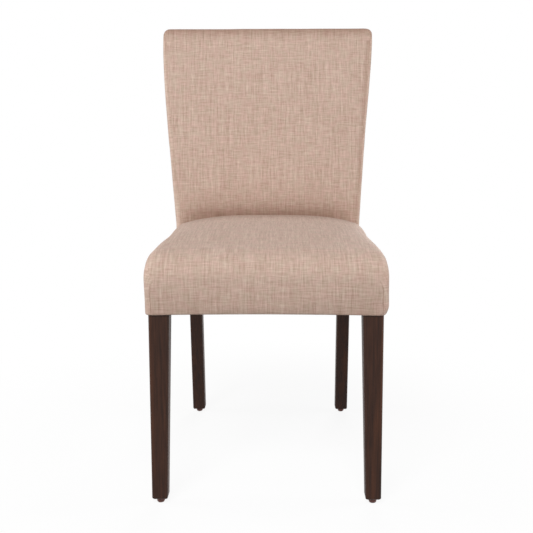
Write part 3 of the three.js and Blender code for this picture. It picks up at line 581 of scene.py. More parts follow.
def face_outwards(panel, layers, outwards):
    """Turns all faces the same way, so that the front panel's largest face points outwards."""
    bmesh.ops.recalc_face_normals(panel, faces=panel.faces)
    flat = [face for face in panel.faces if in_front_panel(face, layers)]
    known = max(flat, key=lambda face: face.calc_area())
    if known.normal.dot(Vector(outwards)) < 0:
        bmesh.ops.reverse_faces(panel, faces=panel.faces)


# %% [markdown]
# ## Letting the cloth settle
# Real padding pushes the cover out between its seams. Cloth simulation does the same: the
# hems and seams are held, a little pressure pushes from inside, and gravity is off. The
# foam stops the cloth from sinking, so only outward moves are kept, and a cap keeps every
# point near its start. The result is written into the mesh and the modifier goes.

# %% Settle
def settle(piece, held, cap, pressure):
    """Runs the cloth for a few moments. The held points stay, and none moves past the cap."""
    stiffness, moments = 12.0, 20
    start = [(v.co.copy(), v.normal.copy()) for v in piece.data.vertices]
    group = piece.vertex_groups.new(name="held")
    group.add(held, 1.0, "REPLACE")
    cloth = piece.modifiers.new("settle", "CLOTH")
    rules = cloth.settings
    rules.quality = 6
    rules.mass = 0.25
    rules.tension_stiffness = stiffness
    rules.compression_stiffness = stiffness
    rules.shear_stiffness = stiffness / 3
    rules.bending_stiffness = 0.6
    rules.vertex_group_mass = "held"
    rules.use_pressure = True
    rules.uniform_pressure_force = pressure
    rules.effector_weights.gravity = 0
    cloth.collision_settings.use_collision = False
    cloth.point_cache.frame_start = 1
    cloth.point_cache.frame_end = moments
    for moment in range(1, moments + 1):
        scene.frame_set(moment)
    settled = piece.evaluated_get(bpy.context.evaluated_depsgraph_get()).data
    moved = [v.co.copy() for v in settled.vertices]
    piece.modifiers.remove(cloth)
    piece.vertex_groups.remove(group)
    scene.frame_set(1)
    most = 0.0
    for vert, (was, outwards), now in zip(piece.data.vertices, start, moved):
        swell = (now - was).dot(outwards)
        most = max(most, swell)
        vert.co = was + outwards * min(max(swell, 0), cap)
    print(piece.name, "settled, at most", round(most * 1000, 1), "mm outwards")


def marks_of(data):
    """The column, row, ring and hem of every vertex of a mesh."""
    marks = [data.attributes[key].data for key in mark_names]
    return [tuple(mark[i].value for mark in marks) for i in range(len(data.vertices))]


def press(piece, depth_of):
    """Pushes points inwards, by a depth worked out from their column, row, ring and hem."""
    normals = [vert.normal.copy() for vert in piece.data.vertices]
    for vert, normal, mark in zip(piece.data.vertices, normals, marks_of(piece.data)):
        vert.co -= normal * depth_of(*mark)


def paint_shade(piece, amount_of):
    """Keeps in "fold" the shade painted on each point, from 0 to 1, in folds, seams and the
    crevice.
    """
    depth = piece.data.attributes.new("fold", "FLOAT", "POINT")
    for vert, mark in zip(piece.data.vertices, marks_of(piece.data)):
        depth.data[vert.index].value = amount_of(vert.co, *mark)


def rumple(piece, height, pitch):
    """Small unevenness, so that no panel is perfectly smooth. The lower edge stays put."""
    normals = [vert.normal.copy() for vert in piece.data.vertices]
    for vert, normal in zip(piece.data.vertices, normals):
        sway = noise.noise(vert.co * pitch) + 0.5 * noise.noise(vert.co * pitch * 2.3)
        vert.co += normal * height * sway * ramped(vert.co.z, bottom_z, bottom_z + 0.03)


def thicken(piece, thickness, offset):
    """Gives cloth its thickness, behind its faces for an offset of -1 and in front for 1."""
    thick = piece.modifiers.new("thickness", "SOLIDIFY")
    thick.thickness = thickness
    thick.offset = offset


def finish_cloth(piece):
    smooth = piece.modifiers.new("smooth", "SUBSURF")
    smooth.levels = 1
    smooth.render_levels = 1
    thicken(piece, cloth_thickness, -1)
    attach(piece, "root")


# %% [markdown]
# ## Seat cover
# One piece of cloth runs over the crowned seat and rolls down its front. At each front
# corner the spare cloth is folded into an upright pleat, and the lower edge is turned under
# the rails, where staples hold it. The rings run back from the front face and lie closest
# together where the cloth turns. A subdivided box would have an even grid, and would lose
# the pleats.

# %% Seat grid
seat_corner = 0.020
front_run, front_drop = 0.056, 0.054
edge_shares = [0, 0.2, 0.4, 0.6, 0.8, 1]
edge_cells = len(edge_shares) - 1
seat_columns, seat_rows = 62, 16
hem_rows = [0.0002, 0.0034]

# How far back each ring lies: close together round the corner and at the rear edge
pleat_angle = 20.5
corner_angles = [6, 11, 15, 18, pleat_angle, 23, 26, 31, 40, 52, 64, 77, 90]
plain_end, plain_cells = 0.418, 40
plain_step = (plain_end - front_run) / plain_cells
seat_stations = [seat_corner * (1 - math.cos(math.radians(a))) for a in corner_angles]
seat_stations += [0.026, 0.033, 0.041, 0.050, front_run]
seat_stations += [front_run + plain_step * (cell + 1) for cell in range(plain_cells)]
seat_stations += [0.4225, 0.4262, 0.4290, 0.4308, seat_end]
pleat_ring = corner_angles.index(pleat_angle) + 1
roll_ring = seat_stations.index(front_run) + 1
rear_ring = len(seat_stations)

# Behind the rear edge: how far each further ring goes inwards, back and down
tuck_steps = [(0.006, 0.001, 0.008), (0.012, 0.004, 0.030)]

# %% Seat curves
crown_height, crown_power, front_crown_share = 0.024, 3.4, 0.10
front_flattening, flattening_peak, flattening_end = 0.006, 0.05, 0.24
brow_drop, brow_run = 0.0085, 0.20
edge_radius_front, edge_radius_rear = 0.027, 0.014
side_strip = 0.014


def seat_half(y):
    return seat_front_half + (seat_rear_half - seat_front_half) * y / seat_depth


def seat_crown(y):
    """How far the middle stands above the edges. It is flatter a little behind the front."""
    along = math.sin(math.pi / 2 * y / seat_depth)
    flat = ramped(y, 0, flattening_peak) * (1 - ramped(y, flattening_peak, flattening_end))
    share = front_crown_share + (1 - front_crown_share) * along
    return crown_height * share - front_flattening * flat


def seat_edge(y):
    """The height of the side edges, which roll down at the front."""
    return knee_z - eased(y, front_run, front_drop) - brow_drop * (1 - min(y / brow_run, 1)) ** 2


def seat_radius(y):
    """The rounded side edge gets tighter towards the back."""
    less = edge_radius_front - edge_radius_rear
    return edge_radius_front - less * ramped(y, seat_depth / 2, seat_depth)


def between_sides(x, half):
    """1 in the middle of the chair and 0 along the strip at each side edge."""
    return 1 - min(abs(x) / (half - side_strip), 1) ** 8


# %% Seat relief
waist_depth, waist_start, waist_length = 0.0028, 0.05, 0.33
left_curl, left_curl_height = 0.0022, 0.065
right_curl, right_curl_height, right_swell = 0.0045, 0.014, 0.0014
curl_fade, curl_end = 0.28, 0.40
hem_sag, right_hem_sag, hem_sag_run = 0.0016, 0.0008, 0.08


def seat_tuck_in(side, y, height):
    """How far the side is drawn in: at mid-depth, and low down at the front, where it curls."""
    along = min(max((y - waist_start) / waist_length, 0), 1)
    waist = waist_depth * math.sin(math.pi * along) ** 2
    fade = 1 - ramped(y, curl_fade, curl_end)
    if side < 0:
        return waist + left_curl * (1 - min(height / left_curl_height, 1)) * fade
    curl = right_curl * (1 - min(height / right_curl_height, 1)) ** 2
    return waist - right_swell + curl * fade


def hem_dip(across, y):
    """The front hem hangs a little lower at its ends, most of all on the right."""
    ends = hem_sag * across ** 2 + right_hem_sag * max(across, 0)
    return ends * (1 - ramped(y, 0, hem_sag_run))


# %% Seat surface
left_slant, right_slant, slant_rows, slant_run = 0.8, 0.25, 9, 0.04
hem_corner, hem_corner_rows = 0.004, 6
front_swell = 0.0016
under_draw, under_height = 0.0008, 0.070
rear_roll_run, rear_roll_drop, side_roll = 0.009, 0.005, 0.002
rear_reach, reach_start = 0.011, 0.385


def seat_section(column, row, y, half):
    """Where a column and a row lie in the upright section at this depth."""
    edge, radius = seat_edge(y), seat_radius(y)
    inner, low = half - radius, edge - radius
    side = -1 if column < seat_columns / 2 else 1
    from_side = min(column, seat_columns - column)
    from_top = seat_rows - row
    if from_side <= edge_cells:
        x = side * (half - radius * edge_shares[from_side])
    else:
        x = inner * (2 * (column - edge_cells) / (seat_columns - 2 * edge_cells) - 1)
    if from_top <= edge_cells:
        z = edge - radius * edge_shares[from_top]
    elif row < len(hem_rows):
        z = bottom_z + hem_rows[row] - hem_dip(x / half, y)
    else:
        first, last = len(hem_rows) - 1, seat_rows - edge_cells
        start = bottom_z + hem_rows[-1]
        z = start + (low - start) * (row - first) / (last - first)
    out, up = abs(x) - inner, z - low
    if out > 0 and up > 0:
        share = arc_share(out, up)
        x, z = side * (inner + out * share), low + up * share
    return x, z


def seat_point(column, row, ring):
    tuck = max(ring - rear_ring, 0)
    y = seat_stations[min(ring, rear_ring) - 1] if ring else 0.0
    side = -1 if column < seat_columns / 2 else 1
    if column in (0, seat_columns):
        slant = left_slant if side < 0 else right_slant
        y *= 1 - slant * (1 - ramped(row, 0, slant_rows)) * (1 - ramped(y, 0, slant_run))
    rounding = seat_corner - hem_corner * (1 - ramped(row, 0, hem_corner_rows))
    half = seat_half(y) - eased(y, rounding, rounding)
    x, z = seat_section(column, row, y, half)
    rise = (z - bottom_z) / (seat_edge(y) - bottom_z)
    across = min(abs(x) / half, 1)
    z += seat_crown(y) * (1 - across ** crown_power) * rise
    x -= side * seat_tuck_in(side, y, z - bottom_z) * across ** 3
    if ring == 0:
        y -= front_swell * math.sin(math.pi * min(rise, 1)) * (1 - (x / half) ** 2)
    under = (1 - min((z - bottom_z) / under_height, 1)) ** 2
    y += under_draw * under * (1 - min(max(y, 0) / seat_corner, 1))
    roll = eased(seat_end - y, rear_roll_run, rear_roll_drop)
    y += rear_reach * between_sides(x, half) * ramped(y, reach_start, seat_end)
    z -= roll * rise
    x -= side * min(roll, side_roll)
    if tuck:
        inwards, rearwards, down = tuck_steps[tuck - 1]
        x -= side * inwards * (abs(x) / half)
        y += rearwards * between_sides(x, half)
        z -= down * rise
    return Vector((x, front_y + y, z))


# %% Seat hem
hem_width = 0.014
corner_flap, leg_flap = 0.002, 0.0044
leg_outer, leg_inner, leg_rear = 0.2205, 0.1805, 0.0445


def seat_hem_point(spot):
    """Where the turned-under edge ends, for a point of the lower edge. It is short at a leg."""
    x, y = spot.x, spot.y - front_y
    side = math.copysign(1, x)
    corner_x = side * (seat_front_half - seat_corner)
    if y < seat_corner and abs(x) > abs(corner_x):
        way = Vector((corner_x - x, seat_corner - y, 0))
        return spot + way.normalized() * corner_flap
    if y < seat_corner:
        return Vector((x, front_y + (leg_flap if abs(x) > leg_inner else hem_width), spot.z))
    inner = leg_outer if y < leg_rear else seat_half(y) - hem_width
    return Vector((side * min(inner, abs(x) - corner_flap), spot.y, spot.z))


# %% Seat cloth
seat_rings = rear_ring + len(tuck_steps)
seat, seat_keys = panel_with_rings(seat_columns, seat_rows, seat_rings)
for vert in seat.verts:
    vert.co = seat_point(*keys_of(vert, seat_keys))
turn_hem(seat, seat_keys, seat_hem_point, lambda vert: vert[seat_keys["ring"]] <= rear_ring)
seat_spots = {keys_of(v, seat_keys): v.co.copy() for v in seat.verts if not v[seat_keys["hem"]]}


def seat_run(column, row, flat_axis):
    """The length of the cloth back along one column, leaving out one axis, at each ring."""
    runs = [0.0]
    for ring in range(seat_rings):
        step = seat_spots[column, row, ring + 1] - seat_spots[column, row, ring]
        step[flat_axis] = 0
        runs.append(runs[-1] + step.length)
    return runs


seat_back = {(c, seat_rows): seat_run(c, seat_rows, 0) for c in range(seat_columns + 1)}
seat_round = {(c, r): seat_run(c, r, 2) for c in (0, seat_columns) for r in range(seat_rows + 1)}
seat_climb = {}
for column in (0, seat_columns):
    for ring in range(seat_rings + 1):
        run = 0.0
        for row in range(seat_rows + 1):
            if row:
                run += (seat_spots[column, row, ring] - seat_spots[column, row - 1, ring]).length
            seat_climb[column, row, ring] = run


def seat_in_cloth(face, vert):
    """Front and top share upright threads. The side cloth starts at the pleat and hangs."""
    column, row, ring = keys_of(vert, seat_keys)
    spot = vert.co
    if in_front_panel(face, seat_keys):
        return spot.x, spot.z
    sides = {v[seat_keys["column"]] for v in face.verts}
    if sides not in ({0}, {seat_columns}):
        return spot.x, seat_spots[column, seat_rows, 0].z + seat_back[column, seat_rows][ring]
    side = 1 if column else -1
    if max(v[seat_keys["ring"]] for v in face.verts) <= pleat_ring:
        return side * (abs(seat_spots[column, row, 0].x) + seat_round[column, row][ring]), spot.z
    level = max(ring, roll_ring)
    ridge = abs(seat_spots[column, seat_rows, level].x) + seat_climb[column, seat_rows, level]
    start = seat_spots[column, seat_rows, 0].z + seat_back[column, seat_rows][roll_ring]
    along = start + seat_round[column, row][ring] - seat_round[column, row][roll_ring]
    return side * (ridge - seat_climb[column, row, ring]), along


face_outwards(seat, seat_keys, (0, -1, 0))
lay_cloth(seat, seat_in_cloth)
held_seat = []
for i, vert in enumerate(seat.verts):
    column, row, ring = keys_of(vert, seat_keys)
    if row == 0 or ring >= rear_ring - 2 or (column in (0, seat_columns) and ring <= roll_ring):
        held_seat.append(i)
seat_cloth = make_piece("seat_upholstery", seat, linen)
settle(seat_cloth, held_seat, cap=0.0012, pressure=4.0)

# %% Seat pleats and painted shade
pleat_relief = {pleat_ring: 0.0017, pleat_ring + 1: -0.0006, pleat_ring + 2: -0.0004}
# How much shade is painted into the cloth: on the turned-under hem, low on the front, in the pleat
# creases, behind the seat and along its rear edge.
hem_shade, low_shade, crease_shade = 0.25, 0.16, 0.5
behind_shade, behind_start = 0.86, 0.30
strip_shade, strip_start = 0.4, 0.40


def in_pleat(column, row):
    return column in (0, seat_columns) and row < seat_rows - 2


def seat_press(column, row, ring, hem):
    """A pleat at each front corner, with the edge of its fold standing up behind it."""
    if hem or not in_pleat(column, row):
        return 0.0
    return pleat_relief.get(ring, 0.0) * ramped(seat_rows - 2 - row, 0, 4) * ramped(row, 0, 3)


def seat_painted_shade(spot, column, row, ring, hem):
    """Painted shade: deepest where the seat meets the back, then in the pleats, and a little low
    down.
    """
    if hem:
        return hem_shade
    y = spot.y - front_y
    behind = between_sides(spot.x, seat_half(y)) * ramped(y, behind_start, seat_end) ** 1.5
    strip = strip_shade * ramped(y, strip_start, seat_end)
    low = low_shade * (1 - ramped(spot.z, bottom_z, bottom_z + under_height))
    crease = crease_shade if ring == pleat_ring and in_pleat(column, row) else 0.0
    return max(behind_shade * behind, strip, low, crease)


press(seat_cloth, seat_press)
# Paints shade into the colour of the seat cloth.
paint_shade(seat_cloth, seat_painted_shade)
rumple(seat_cloth, height=0.0007, pitch=11)
finish_cloth(seat_cloth)
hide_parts("seat_cover")

# %% [markdown]
# ## Back cover
# The inside back is one panel that rolls over the top. A boxing strip is sewn to it along
# each side, and shows from the front because its seam lies in from the edge, more so on the
# left. At the rear the strip turns the corner and ends in the seam with the outside back.
# The whole back leans a few millimetres to the left, as hand-fitted covers do. Low down the
# face draws back into the crevice behind the seat.

# %% Back curves
back_rise = 0.462
front_stack, rear_stack, side_stack = 0.0314, 0.0051, 0.0061
post_foot_depth, post_knee_depth, post_top_depth = 0.031, 0.044, 0.026
post_drop, crest_height = 0.484, 0.055
crevice_run, post_knee_run = 0.040, 0.090
back_bow, bow_power = 0.0032, 2.5

knee_y = seat_depth + front_stack / math.cos(lean)
foot_rear = knee_y + math.tan(rake) * post_drop + post_foot_depth
back_top = knee_z + back_rise * math.cos(lean) + front_stack * math.sin(lean)
rear_below = (foot_rear - knee_y - post_knee_depth) / post_drop
top_up = back_rise - side_stack - crest_height - fit_gap
top_run = top_up * math.sin(lean) + post_top_depth * math.cos(lean) - post_knee_depth
rear_above = top_run / (top_up * math.cos(lean) - post_top_depth * math.sin(lean))


def back_front(z):
    return seat_depth + bend(z - knee_z, 0, math.tan(lean), crevice_run)


def back_rear(z):
    behind = bend(z - knee_z, rear_below, rear_above, post_knee_run)
    return knee_y + post_knee_depth + behind + rear_stack


def up_back(z):
    """0 where the seat ends and 1 at the top."""
    return min(max((z - knee_z) / (back_top - knee_z), 0), 1)


def back_half(z):
    flare = seat_rear_half + (back_top_half - seat_rear_half) * up_back(z)
    return flare + back_bow * math.sin(math.pi * up_back(z) ** bow_power)


def back_section(z):
    """The way back from the front face at this height, and how far the rear face is."""
    turned = lean * ramped(z, knee_z, (knee_z + back_top) / 2)
    across, down = math.cos(turned), -math.sin(turned)
    depth = 0.05
    for _ in range(6):
        depth = (back_rear(z + depth * down) - back_front(z)) / across
    return across, down, depth


# %% Back relief
aside, middle_aside, left_aside = 0.003, 0.0016, 0.0019
crevice_z = bottom_z + 0.079
crevice_depth, crevice_low, crevice_high = 0.016, knee_z + 0.006, knee_z + 0.105
right_seam, left_seam, left_seam_gain = 0.0065, 0.0145, 0.005


def lean_aside(x, z):
    """How far the cover sits to the left, most of all half way up."""
    left_share = 0.5 - 0.5 * max(min(x / back_half(z), 1), -1)
    return -aside - math.sin(math.pi * up_back(z)) * (middle_aside + left_aside * left_share)


def crevice_dip(x, z):
    """How far the face draws back behind the seat. It fades towards the sides."""
    fade = between_sides(x, back_half(z))
    return crevice_depth * fade * (1 - ramped(z, crevice_low, crevice_high))


def on_back(x, z, depth):
    across, down, _ = back_section(z)
    return Vector((
        x + lean_aside(x, z), front_y + back_front(z) + across * depth, z + down * depth))


def side_inset(side, z):
    """How far in from the edge the seam lies."""
    return right_seam if side > 0 else left_seam - left_seam_gain * up_back(z)


# %% Back cloth grid
side_cells = 7
seam_column = 3
back_columns = 58 + 2 * side_cells
low_cells, high_cells = 8, 56
back_rows = low_cells + high_cells + side_cells
box_cells, turn_cells, fold_cells = 6, 3, 2
back_corner = 0.016
top_inset = 0.010


def edge_offset(cell, inset):
    """How far a column or row lies from the edge of the panel."""
    steps = [0, 0.134 * inset, 0.5 * inset, inset, inset + 0.0016, inset + 0.0042, 0.0195, 0.024]
    return steps[cell]


def row_height(row):
    low, high = hem_rows[0], back_top - edge_offset(side_cells, top_inset)
    if row <= low_cells:
        return bottom_z + low + (crevice_z - bottom_z - low) * row / low_cells
    if row <= low_cells + high_cells:
        return crevice_z + (high - crevice_z) * (row - low_cells) / high_cells
    return back_top - edge_offset(back_rows - row, top_inset)


def back_spot(column, row, inset):
    """A place on the back's outline grid: x, height, and the distance from the edge."""
    z = row_height(row)
    half = back_half(z)
    side = -1 if column < back_columns / 2 else 1
    from_side = min(column, back_columns - column)
    zone = edge_offset(side_cells, top_inset)
    if from_side <= side_cells:
        gap_x = edge_offset(from_side, side_inset(side, z))
        x = half - gap_x
    else:
        gap_x = 1.0
        x = abs((half - zone) * (2 * (column - side_cells) / (back_columns - 2 * side_cells) - 1))
    gap_z = back_top - z
    if gap_x < back_corner and gap_z < back_corner:
        out, up = back_corner - gap_x, back_corner - gap_z
        share = arc_share(out, up) * (back_corner - inset) / back_corner
        x = half - back_corner + out * share
        z = back_top - back_corner + up * share
    elif gap_x == 0:
        x -= inset
    elif gap_z == 0:
        z -= inset
    return side * x, z, min(gap_x, gap_z)


# %% Back surface
edge_squash = 0.8
low_radius, low_radius_start, low_radius_end = 0.0015, knee_z - 0.030, knee_z + 0.020
top_radius_run = 0.035
rear_turn = 0.005
rear_seam, rear_seam_gain = 0.007, 0.005
fold_in, fold_down = 0.001, 0.004
back_crown, low_swell = 0.004, 0.001


def back_point(column, row, ring):
    z = row_height(row)
    side = -1 if column < back_columns / 2 else 1
    _, _, depth = back_section(z)
    near_top = 1 - ramped(back_top - z, 0, top_radius_run)
    edge = side_inset(side, z) + (top_inset - side_inset(side, z)) * near_top
    edge = low_radius + (edge - low_radius) * ramped(z, low_radius_start, low_radius_end)
    start = edge * edge_squash
    if ring == 0:
        x, z, gap = back_spot(column, row, 0)
        crown = back_crown * math.sin(math.pi * up_back(z)) * (1 - (x / back_half(z)) ** 2)
        crown += low_swell * (1 - ramped(z, low_radius_start, knee_z))
        return on_back(x, z, eased(gap, edge, start) - crown + crevice_dip(x, z))
    turned = ring - box_cells
    if turned <= 0:
        inset = 0.0
        behind = start + (depth - rear_turn - start) * ring / box_cells
    elif turned <= turn_cells:
        angle = math.pi / 2 * turned / turn_cells
        inset = rear_turn * (1 - math.cos(angle))
        behind = depth - rear_turn * (1 - math.sin(angle))
    else:
        fold = turned - turn_cells - 1
        seam = rear_seam + rear_seam_gain * ramped(row, back_rows - side_cells, back_rows)
        inset = seam + fold_in * fold
        behind = depth - fold_down * fold
    x, z, _ = back_spot(column, row, inset)
    return on_back(x, z, behind)


# %% Back cloth
back, back_keys = panel_with_rings(back_columns, back_rows, box_cells + turn_cells + fold_cells)
for vert in back.verts:
    vert.co = back_point(*keys_of(vert, back_keys))


def in_mouth(vert):
    """The front face is open low down between the seams, where the seat reaches in."""
    column, row, ring = keys_of(vert, back_keys)
    return ring == 0 and row <= low_cells and seam_column <= column <= back_columns - seam_column


def hemmed(vert):
    column, _, ring = keys_of(vert, back_keys)
    return ring <= box_cells if ring else column in (0, back_columns)


def back_hem_point(spot):
    return Vector((spot.x - math.copysign(hem_width, spot.x), spot.y, spot.z))


mouth = [face for face in back.faces if all(in_mouth(vert) for vert in face.verts)]
bmesh.ops.delete(back, geom=mouth, context="FACES")
turn_hem(back, back_keys, back_hem_point, hemmed)

# %% Back threads
strip_shift, ring_pitch = 0.3, 0.008


def back_in_cloth(face, vert):
    column, row, ring = keys_of(vert, back_keys)
    columns = [v[back_keys["column"]] for v in face.verts]
    side = 1 if min(columns) > back_columns / 2 else -1
    from_side = max(columns) if side < 0 else back_columns - min(columns)
    strip_edge = side * strip_shift
    if in_front_panel(face, back_keys):
        if from_side > seam_column:
            return vert.co.x, row_height(row)
        return strip_edge - side * (back_half(vert.co.z) - abs(vert.co.x)), row_height(row)
    middle_row = sum(v[back_keys["row"]] for v in face.verts) / len(face.verts)
    if back_rows - middle_row < from_side:
        return vert.co.x, back_top + ring_pitch * ring
    return strip_edge + side * ring_pitch * ring, row_height(row)


face_outwards(back, back_keys, (0, -1, 0))
lay_cloth(back, back_in_cloth)


# %% Back seams and painted shade
seam_sink, seam_swell = 0.0013, 0.0003
# Where and how much shade is painted into the cloth: in the crevice, over the top, at the side
# seams and beside the right seam.
crevice_shade_low, crevice_shade_high = crevice_z + 0.055, crevice_z + 0.125
top_shade, boxing_top_shade, top_shade_run = 0.82, 0.25, 0.040
right_seam_shade, left_seam_shade = 0.45, 0.2
flank_shade, flank_near, flank_far = 0.42, 0.006, 0.021


def at_side_seam(column, row):
    return min(column, back_columns - column) == seam_column and row < back_rows - 1


held_back = []
for i, vert in enumerate(back.verts):
    column, row, ring = keys_of(vert, back_keys)
    if ring >= box_cells or row <= low_cells or at_side_seam(column, row):
        held_back.append(i)
back_cloth = make_piece("back_upholstery", back, linen)
settle(back_cloth, held_back, cap=0.0012, pressure=2.0)


def back_press(column, row, ring, hem):
    """The side seams sink in, and the cloth swells a little on both sides of them."""
    if hem or ring:
        return 0.0
    if at_side_seam(column, row):
        return seam_sink
    if at_side_seam(column - 1, row) or at_side_seam(column + 1, row):
        return -seam_swell
    return 0.0


def back_painted_shade(spot, column, row, ring, hem):
    """Painted shade: deepest in the crevice behind the seat, then along the seams and over the top.
    """
    if hem:
        return hem_shade
    centre = 1 - min(abs(spot.x) / back_half(spot.z), 1) ** 5
    crevice = centre * (1 - ramped(spot.z, crevice_shade_low, crevice_shade_high)) ** 2
    near_top = (1 - ramped(back_top - spot.z, 0, top_shade_run)) ** 2
    over = near_top * (boxing_top_shade if ring else top_shade)
    seam = 0.0
    if ring == 0 and row < back_rows - side_cells:
        if at_side_seam(column, row):
            seam = right_seam_shade if spot.x > 0 else left_seam_shade
        elif seam_column < back_columns - column <= side_cells + 1:
            gap = edge_offset(min(back_columns - column, side_cells), side_inset(1, spot.z))
            seam = flank_shade * (1 - ramped(gap, flank_near, flank_far))
    return max(crevice, over, seam)


press(back_cloth, back_press)
# Paints shade into the colour of the back cloth.
paint_shade(back_cloth, back_painted_shade)
rumple(back_cloth, height=0.0006, pitch=9)
finish_cloth(back_cloth)
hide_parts("back_cover")

# %% [markdown]
# ## Outside back
# The rear of the back is covered last, with a flat panel whose edges are turned in and
# sewn to the boxing. It is a grid that follows the rear face of the frame, with its rim
# folded in.

# %% Outside back
rear_columns, rear_rows = 56, 68
rear_folds, rear_fold_depth = 2, 0.002
panel_drop, panel_inset, panel_corner = 0.0123, 0.0073, 0.010
panel_edge_run, panel_edge_drop = 0.004, 0.0012
post_inner, post_outer, post_flap = 0.1655, 0.1965, 0.0028


def rear_point(column, row, ring):
    top = back_top - panel_drop
    z = bottom_z + hem_rows[0] + (top - bottom_z - hem_rows[0]) * row / rear_rows
    reach = back_corner - panel_corner
    half = back_half(min(z, back_top)) - panel_inset
    x = half * (2 * column / rear_columns - 1)
    gap_x, gap_z = half - abs(x), top - z
    if gap_x < reach and gap_z < reach:
        out, up = reach - gap_x, reach - gap_z
        share = arc_share(out, up)
        x = math.copysign(half - reach + out * share, x)
        z = top - reach + up * share
    _, _, depth = back_section(z)
    drop = eased(min(gap_x, gap_z), panel_edge_run, panel_edge_drop)
    return on_back(x, z, depth - drop - rear_fold_depth * ring)


def rear_hem_point(spot):
    """The lower edge is turned under the rear rail, and cut short at the posts."""
    at_post = post_inner < abs(spot.x) < post_outer
    return Vector((spot.x, spot.y - (post_flap if at_post else hem_width), spot.z))


rear, rear_keys = panel_with_rings(rear_columns, rear_rows, rear_folds)
for vert in rear.verts:
    vert.co = rear_point(*keys_of(vert, rear_keys))
turn_hem(rear, rear_keys, rear_hem_point, lambda vert: vert[rear_keys["ring"]] == 0)
face_outwards(rear, rear_keys, (0, 1, 0))
lay_cloth(rear, lambda face, vert: (vert.co.x, vert.co.z))
outside_back = make_piece("outside_back", rear, linen)
rumple(outside_back, height=0.0005, pitch=8)
finish_cloth(outside_back)
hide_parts("back_cover_rear")

# %% [markdown]
# ## Dust cover
# A thin black cloth closes the underside. It is cut out at the legs, stapled to the rails
# and sags a little between them. A row of stops in each direction puts the grid lines on
# the cut-outs, so that whole faces can be taken away there.

# %% Dust cover
dust_thickness = 0.0008
dust_inset = 0.008
dust_gap = 0.0004
dust_sag, dust_ripple, ripple_pitch = 0.005, 0.0006, 30
cut_room = 0.0005
dust_end = back_rear(bottom_z) - dust_inset
dust_length = dust_end - dust_inset
post_front = knee_y + math.tan(rake) * side_height - cut_room


def dust_half(y):
    return seat_half(min(y, seat_depth)) - dust_inset


def between_stops(stops, counts):
    places = [stops[0]]
    for start, end, count in zip(stops, stops[1:], counts):
        places += [start + (end - start) * (i + 1) / count for i in range(count)]
    return places


x_counts, y_counts = (2, 1, 26, 1, 2), (3, 34, 3)
dust_y = between_stops([dust_inset, leg_rear, post_front, dust_end], y_counts)
dust = bmesh.new()
bmesh.ops.create_grid(dust, x_segments=sum(x_counts), y_segments=sum(y_counts), size=0.5)
for vert in dust.verts:
    y = dust_y[round((vert.co.y + 0.5) * sum(y_counts))]
    edge = dust_half(y)
    across = between_stops([-edge, -leg_inner, -post_inner, post_inner, leg_inner, edge], x_counts)
    x = across[round((vert.co.x + 0.5) * sum(x_counts))]
    sag = dust_sag * math.cos(math.pi / 2 * x / edge)
    sag *= math.sin(math.pi * (y - dust_inset) / dust_length)
    sag += dust_ripple * noise.noise(Vector((x, y, 0)) * ripple_pitch)
    vert.co = (x, front_y + y, bottom_z - dust_gap - max(sag, 0))
cut_out = []
for face in dust.faces:
    middle = face.calc_center_median()
    at_leg = abs(middle.x) > leg_inner and middle.y < front_y + leg_rear
    at_post = abs(middle.x) > post_inner and middle.y > front_y + post_front
    if at_leg or at_post:
        cut_out.append(face)
bmesh.ops.delete(dust, geom=cut_out, context="FACES")
bmesh.ops.recalc_face_normals(dust, faces=dust.faces)
if next(iter(dust.faces)).normal.z > 0:
    bmesh.ops.reverse_faces(dust, faces=dust.faces)
dust_sheet = make_piece("dust_cloth", dust, dust_cloth)
thicken(dust_sheet, dust_thickness, 1)
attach(dust_sheet, "root")
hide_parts("dust_cover")
2 * dust_half(0)
dust_end - dust_inset

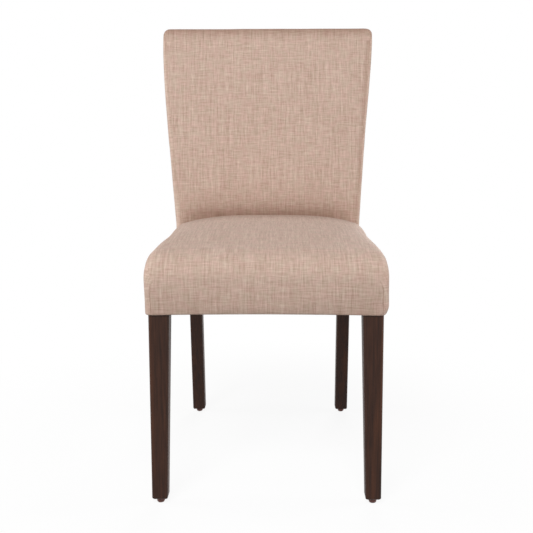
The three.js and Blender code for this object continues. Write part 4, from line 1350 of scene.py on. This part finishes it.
# %% Staples
random.seed(4)
staple_inset, staple_stray, staple_turn = 0.007, 0.004, 0.25
staple_length, staple_width, staple_height = 0.0105, 0.0012, 0.0006
staple_z = bottom_z - dust_gap - dust_thickness - staple_height
row_count, row_pitch = 7, 0.052
side_count, side_start, side_pitch = 8, 0.066, 0.056
staple_spots = []
for step in range(row_count):
    x = row_pitch * (step - (row_count - 1) / 2)
    staple_spots += [(x, dust_inset + staple_inset, 0), (x, dust_end - staple_inset, 0)]
for step in range(side_count):
    y = side_start + side_pitch * step
    x = dust_half(y) - staple_inset
    staple_spots += [(x, y, math.pi / 2), (-x, y, math.pi / 2)]
staples = bmesh.new()
for x, y, turned in staple_spots:
    x += random.uniform(-staple_stray, staple_stray) * math.cos(turned)
    y += random.uniform(-staple_stray, staple_stray) * math.sin(turned)
    place = Matrix.Translation((x, front_y + y, staple_z))
    turned += random.uniform(-staple_turn, staple_turn)
    place @= Matrix.Rotation(turned, 4, "Z")
    place @= Matrix.Diagonal((staple_length, staple_width, staple_height, 1))
    bmesh.ops.create_cube(staples, size=1, matrix=place)
staple_piece = make_piece("dust_cover_staples", staples, zinc_steel)
for face in staple_piece.data.polygons:
    face.use_smooth = False
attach(staple_piece, "root")

# %% [markdown]
# ## Padding
# The foam and wadding keep the CAD shapes, which the frame was drawn round. A CAD mesh is
# loose triangles, so each copy is merged first. Where a point lies outside the cover, or
# too close to it, the nearest place on the cloth says which way to press it in, as the
# tight cover does. A bevel softens the cut edges as a foam knife would.

# %% Padding pieces
search_reach = 0.030


def press_under(soft, cover, room):
    """Moves points inwards until they lie at least this far inside the cover."""
    cloth = BVHTree.FromPolygons(
        [v.co for v in cover.data.vertices], [f.vertices for f in cover.data.polygons])
    for vert in soft.verts:
        for _ in range(3):
            near, outwards, _, _ = cloth.find_nearest(vert.co, search_reach)
            if near is None:
                break
            inside = (near - vert.co).dot(outwards)
            if inside >= room:
                break
            vert.co -= outwards * (room - inside)


def padding_piece(name, node, material, cover, room):
    soft = bmesh.new()
    soft.from_mesh(frame["nodes"][node].data)
    bmesh.ops.remove_doubles(soft, verts=soft.verts, dist=0.00002)
    bmesh.ops.recalc_face_normals(soft, faces=soft.faces)
    for reach in (0.060, 0.030):
        long = [edge for edge in soft.edges if edge.calc_length() > reach]
        bmesh.ops.subdivide_edges(soft, edges=long, cuts=1)
    bmesh.ops.triangulate(soft, faces=soft.faces)
    press_under(soft, cover, room)
    piece = make_piece(name, soft, material)
    soft_edge = piece.modifiers.new("soft edge", "BEVEL")
    soft_edge.width = 0.0012
    soft_edge.segments = 2
    soft_edge.limit_method = "ANGLE"
    soft_edge.angle_limit = math.radians(50)
    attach(piece, "root")
    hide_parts(node)
    return piece


seat_pad = padding_piece("seat_padding", "seat_foam", foam, seat_cloth, 0.0018)
back_pad = padding_piece("back_padding", "back_foam", foam, back_cloth, 0.0014)
rear_pad = padding_piece(
    "rear_padding", "back_wadding", wadding, outside_back, 0.0014)
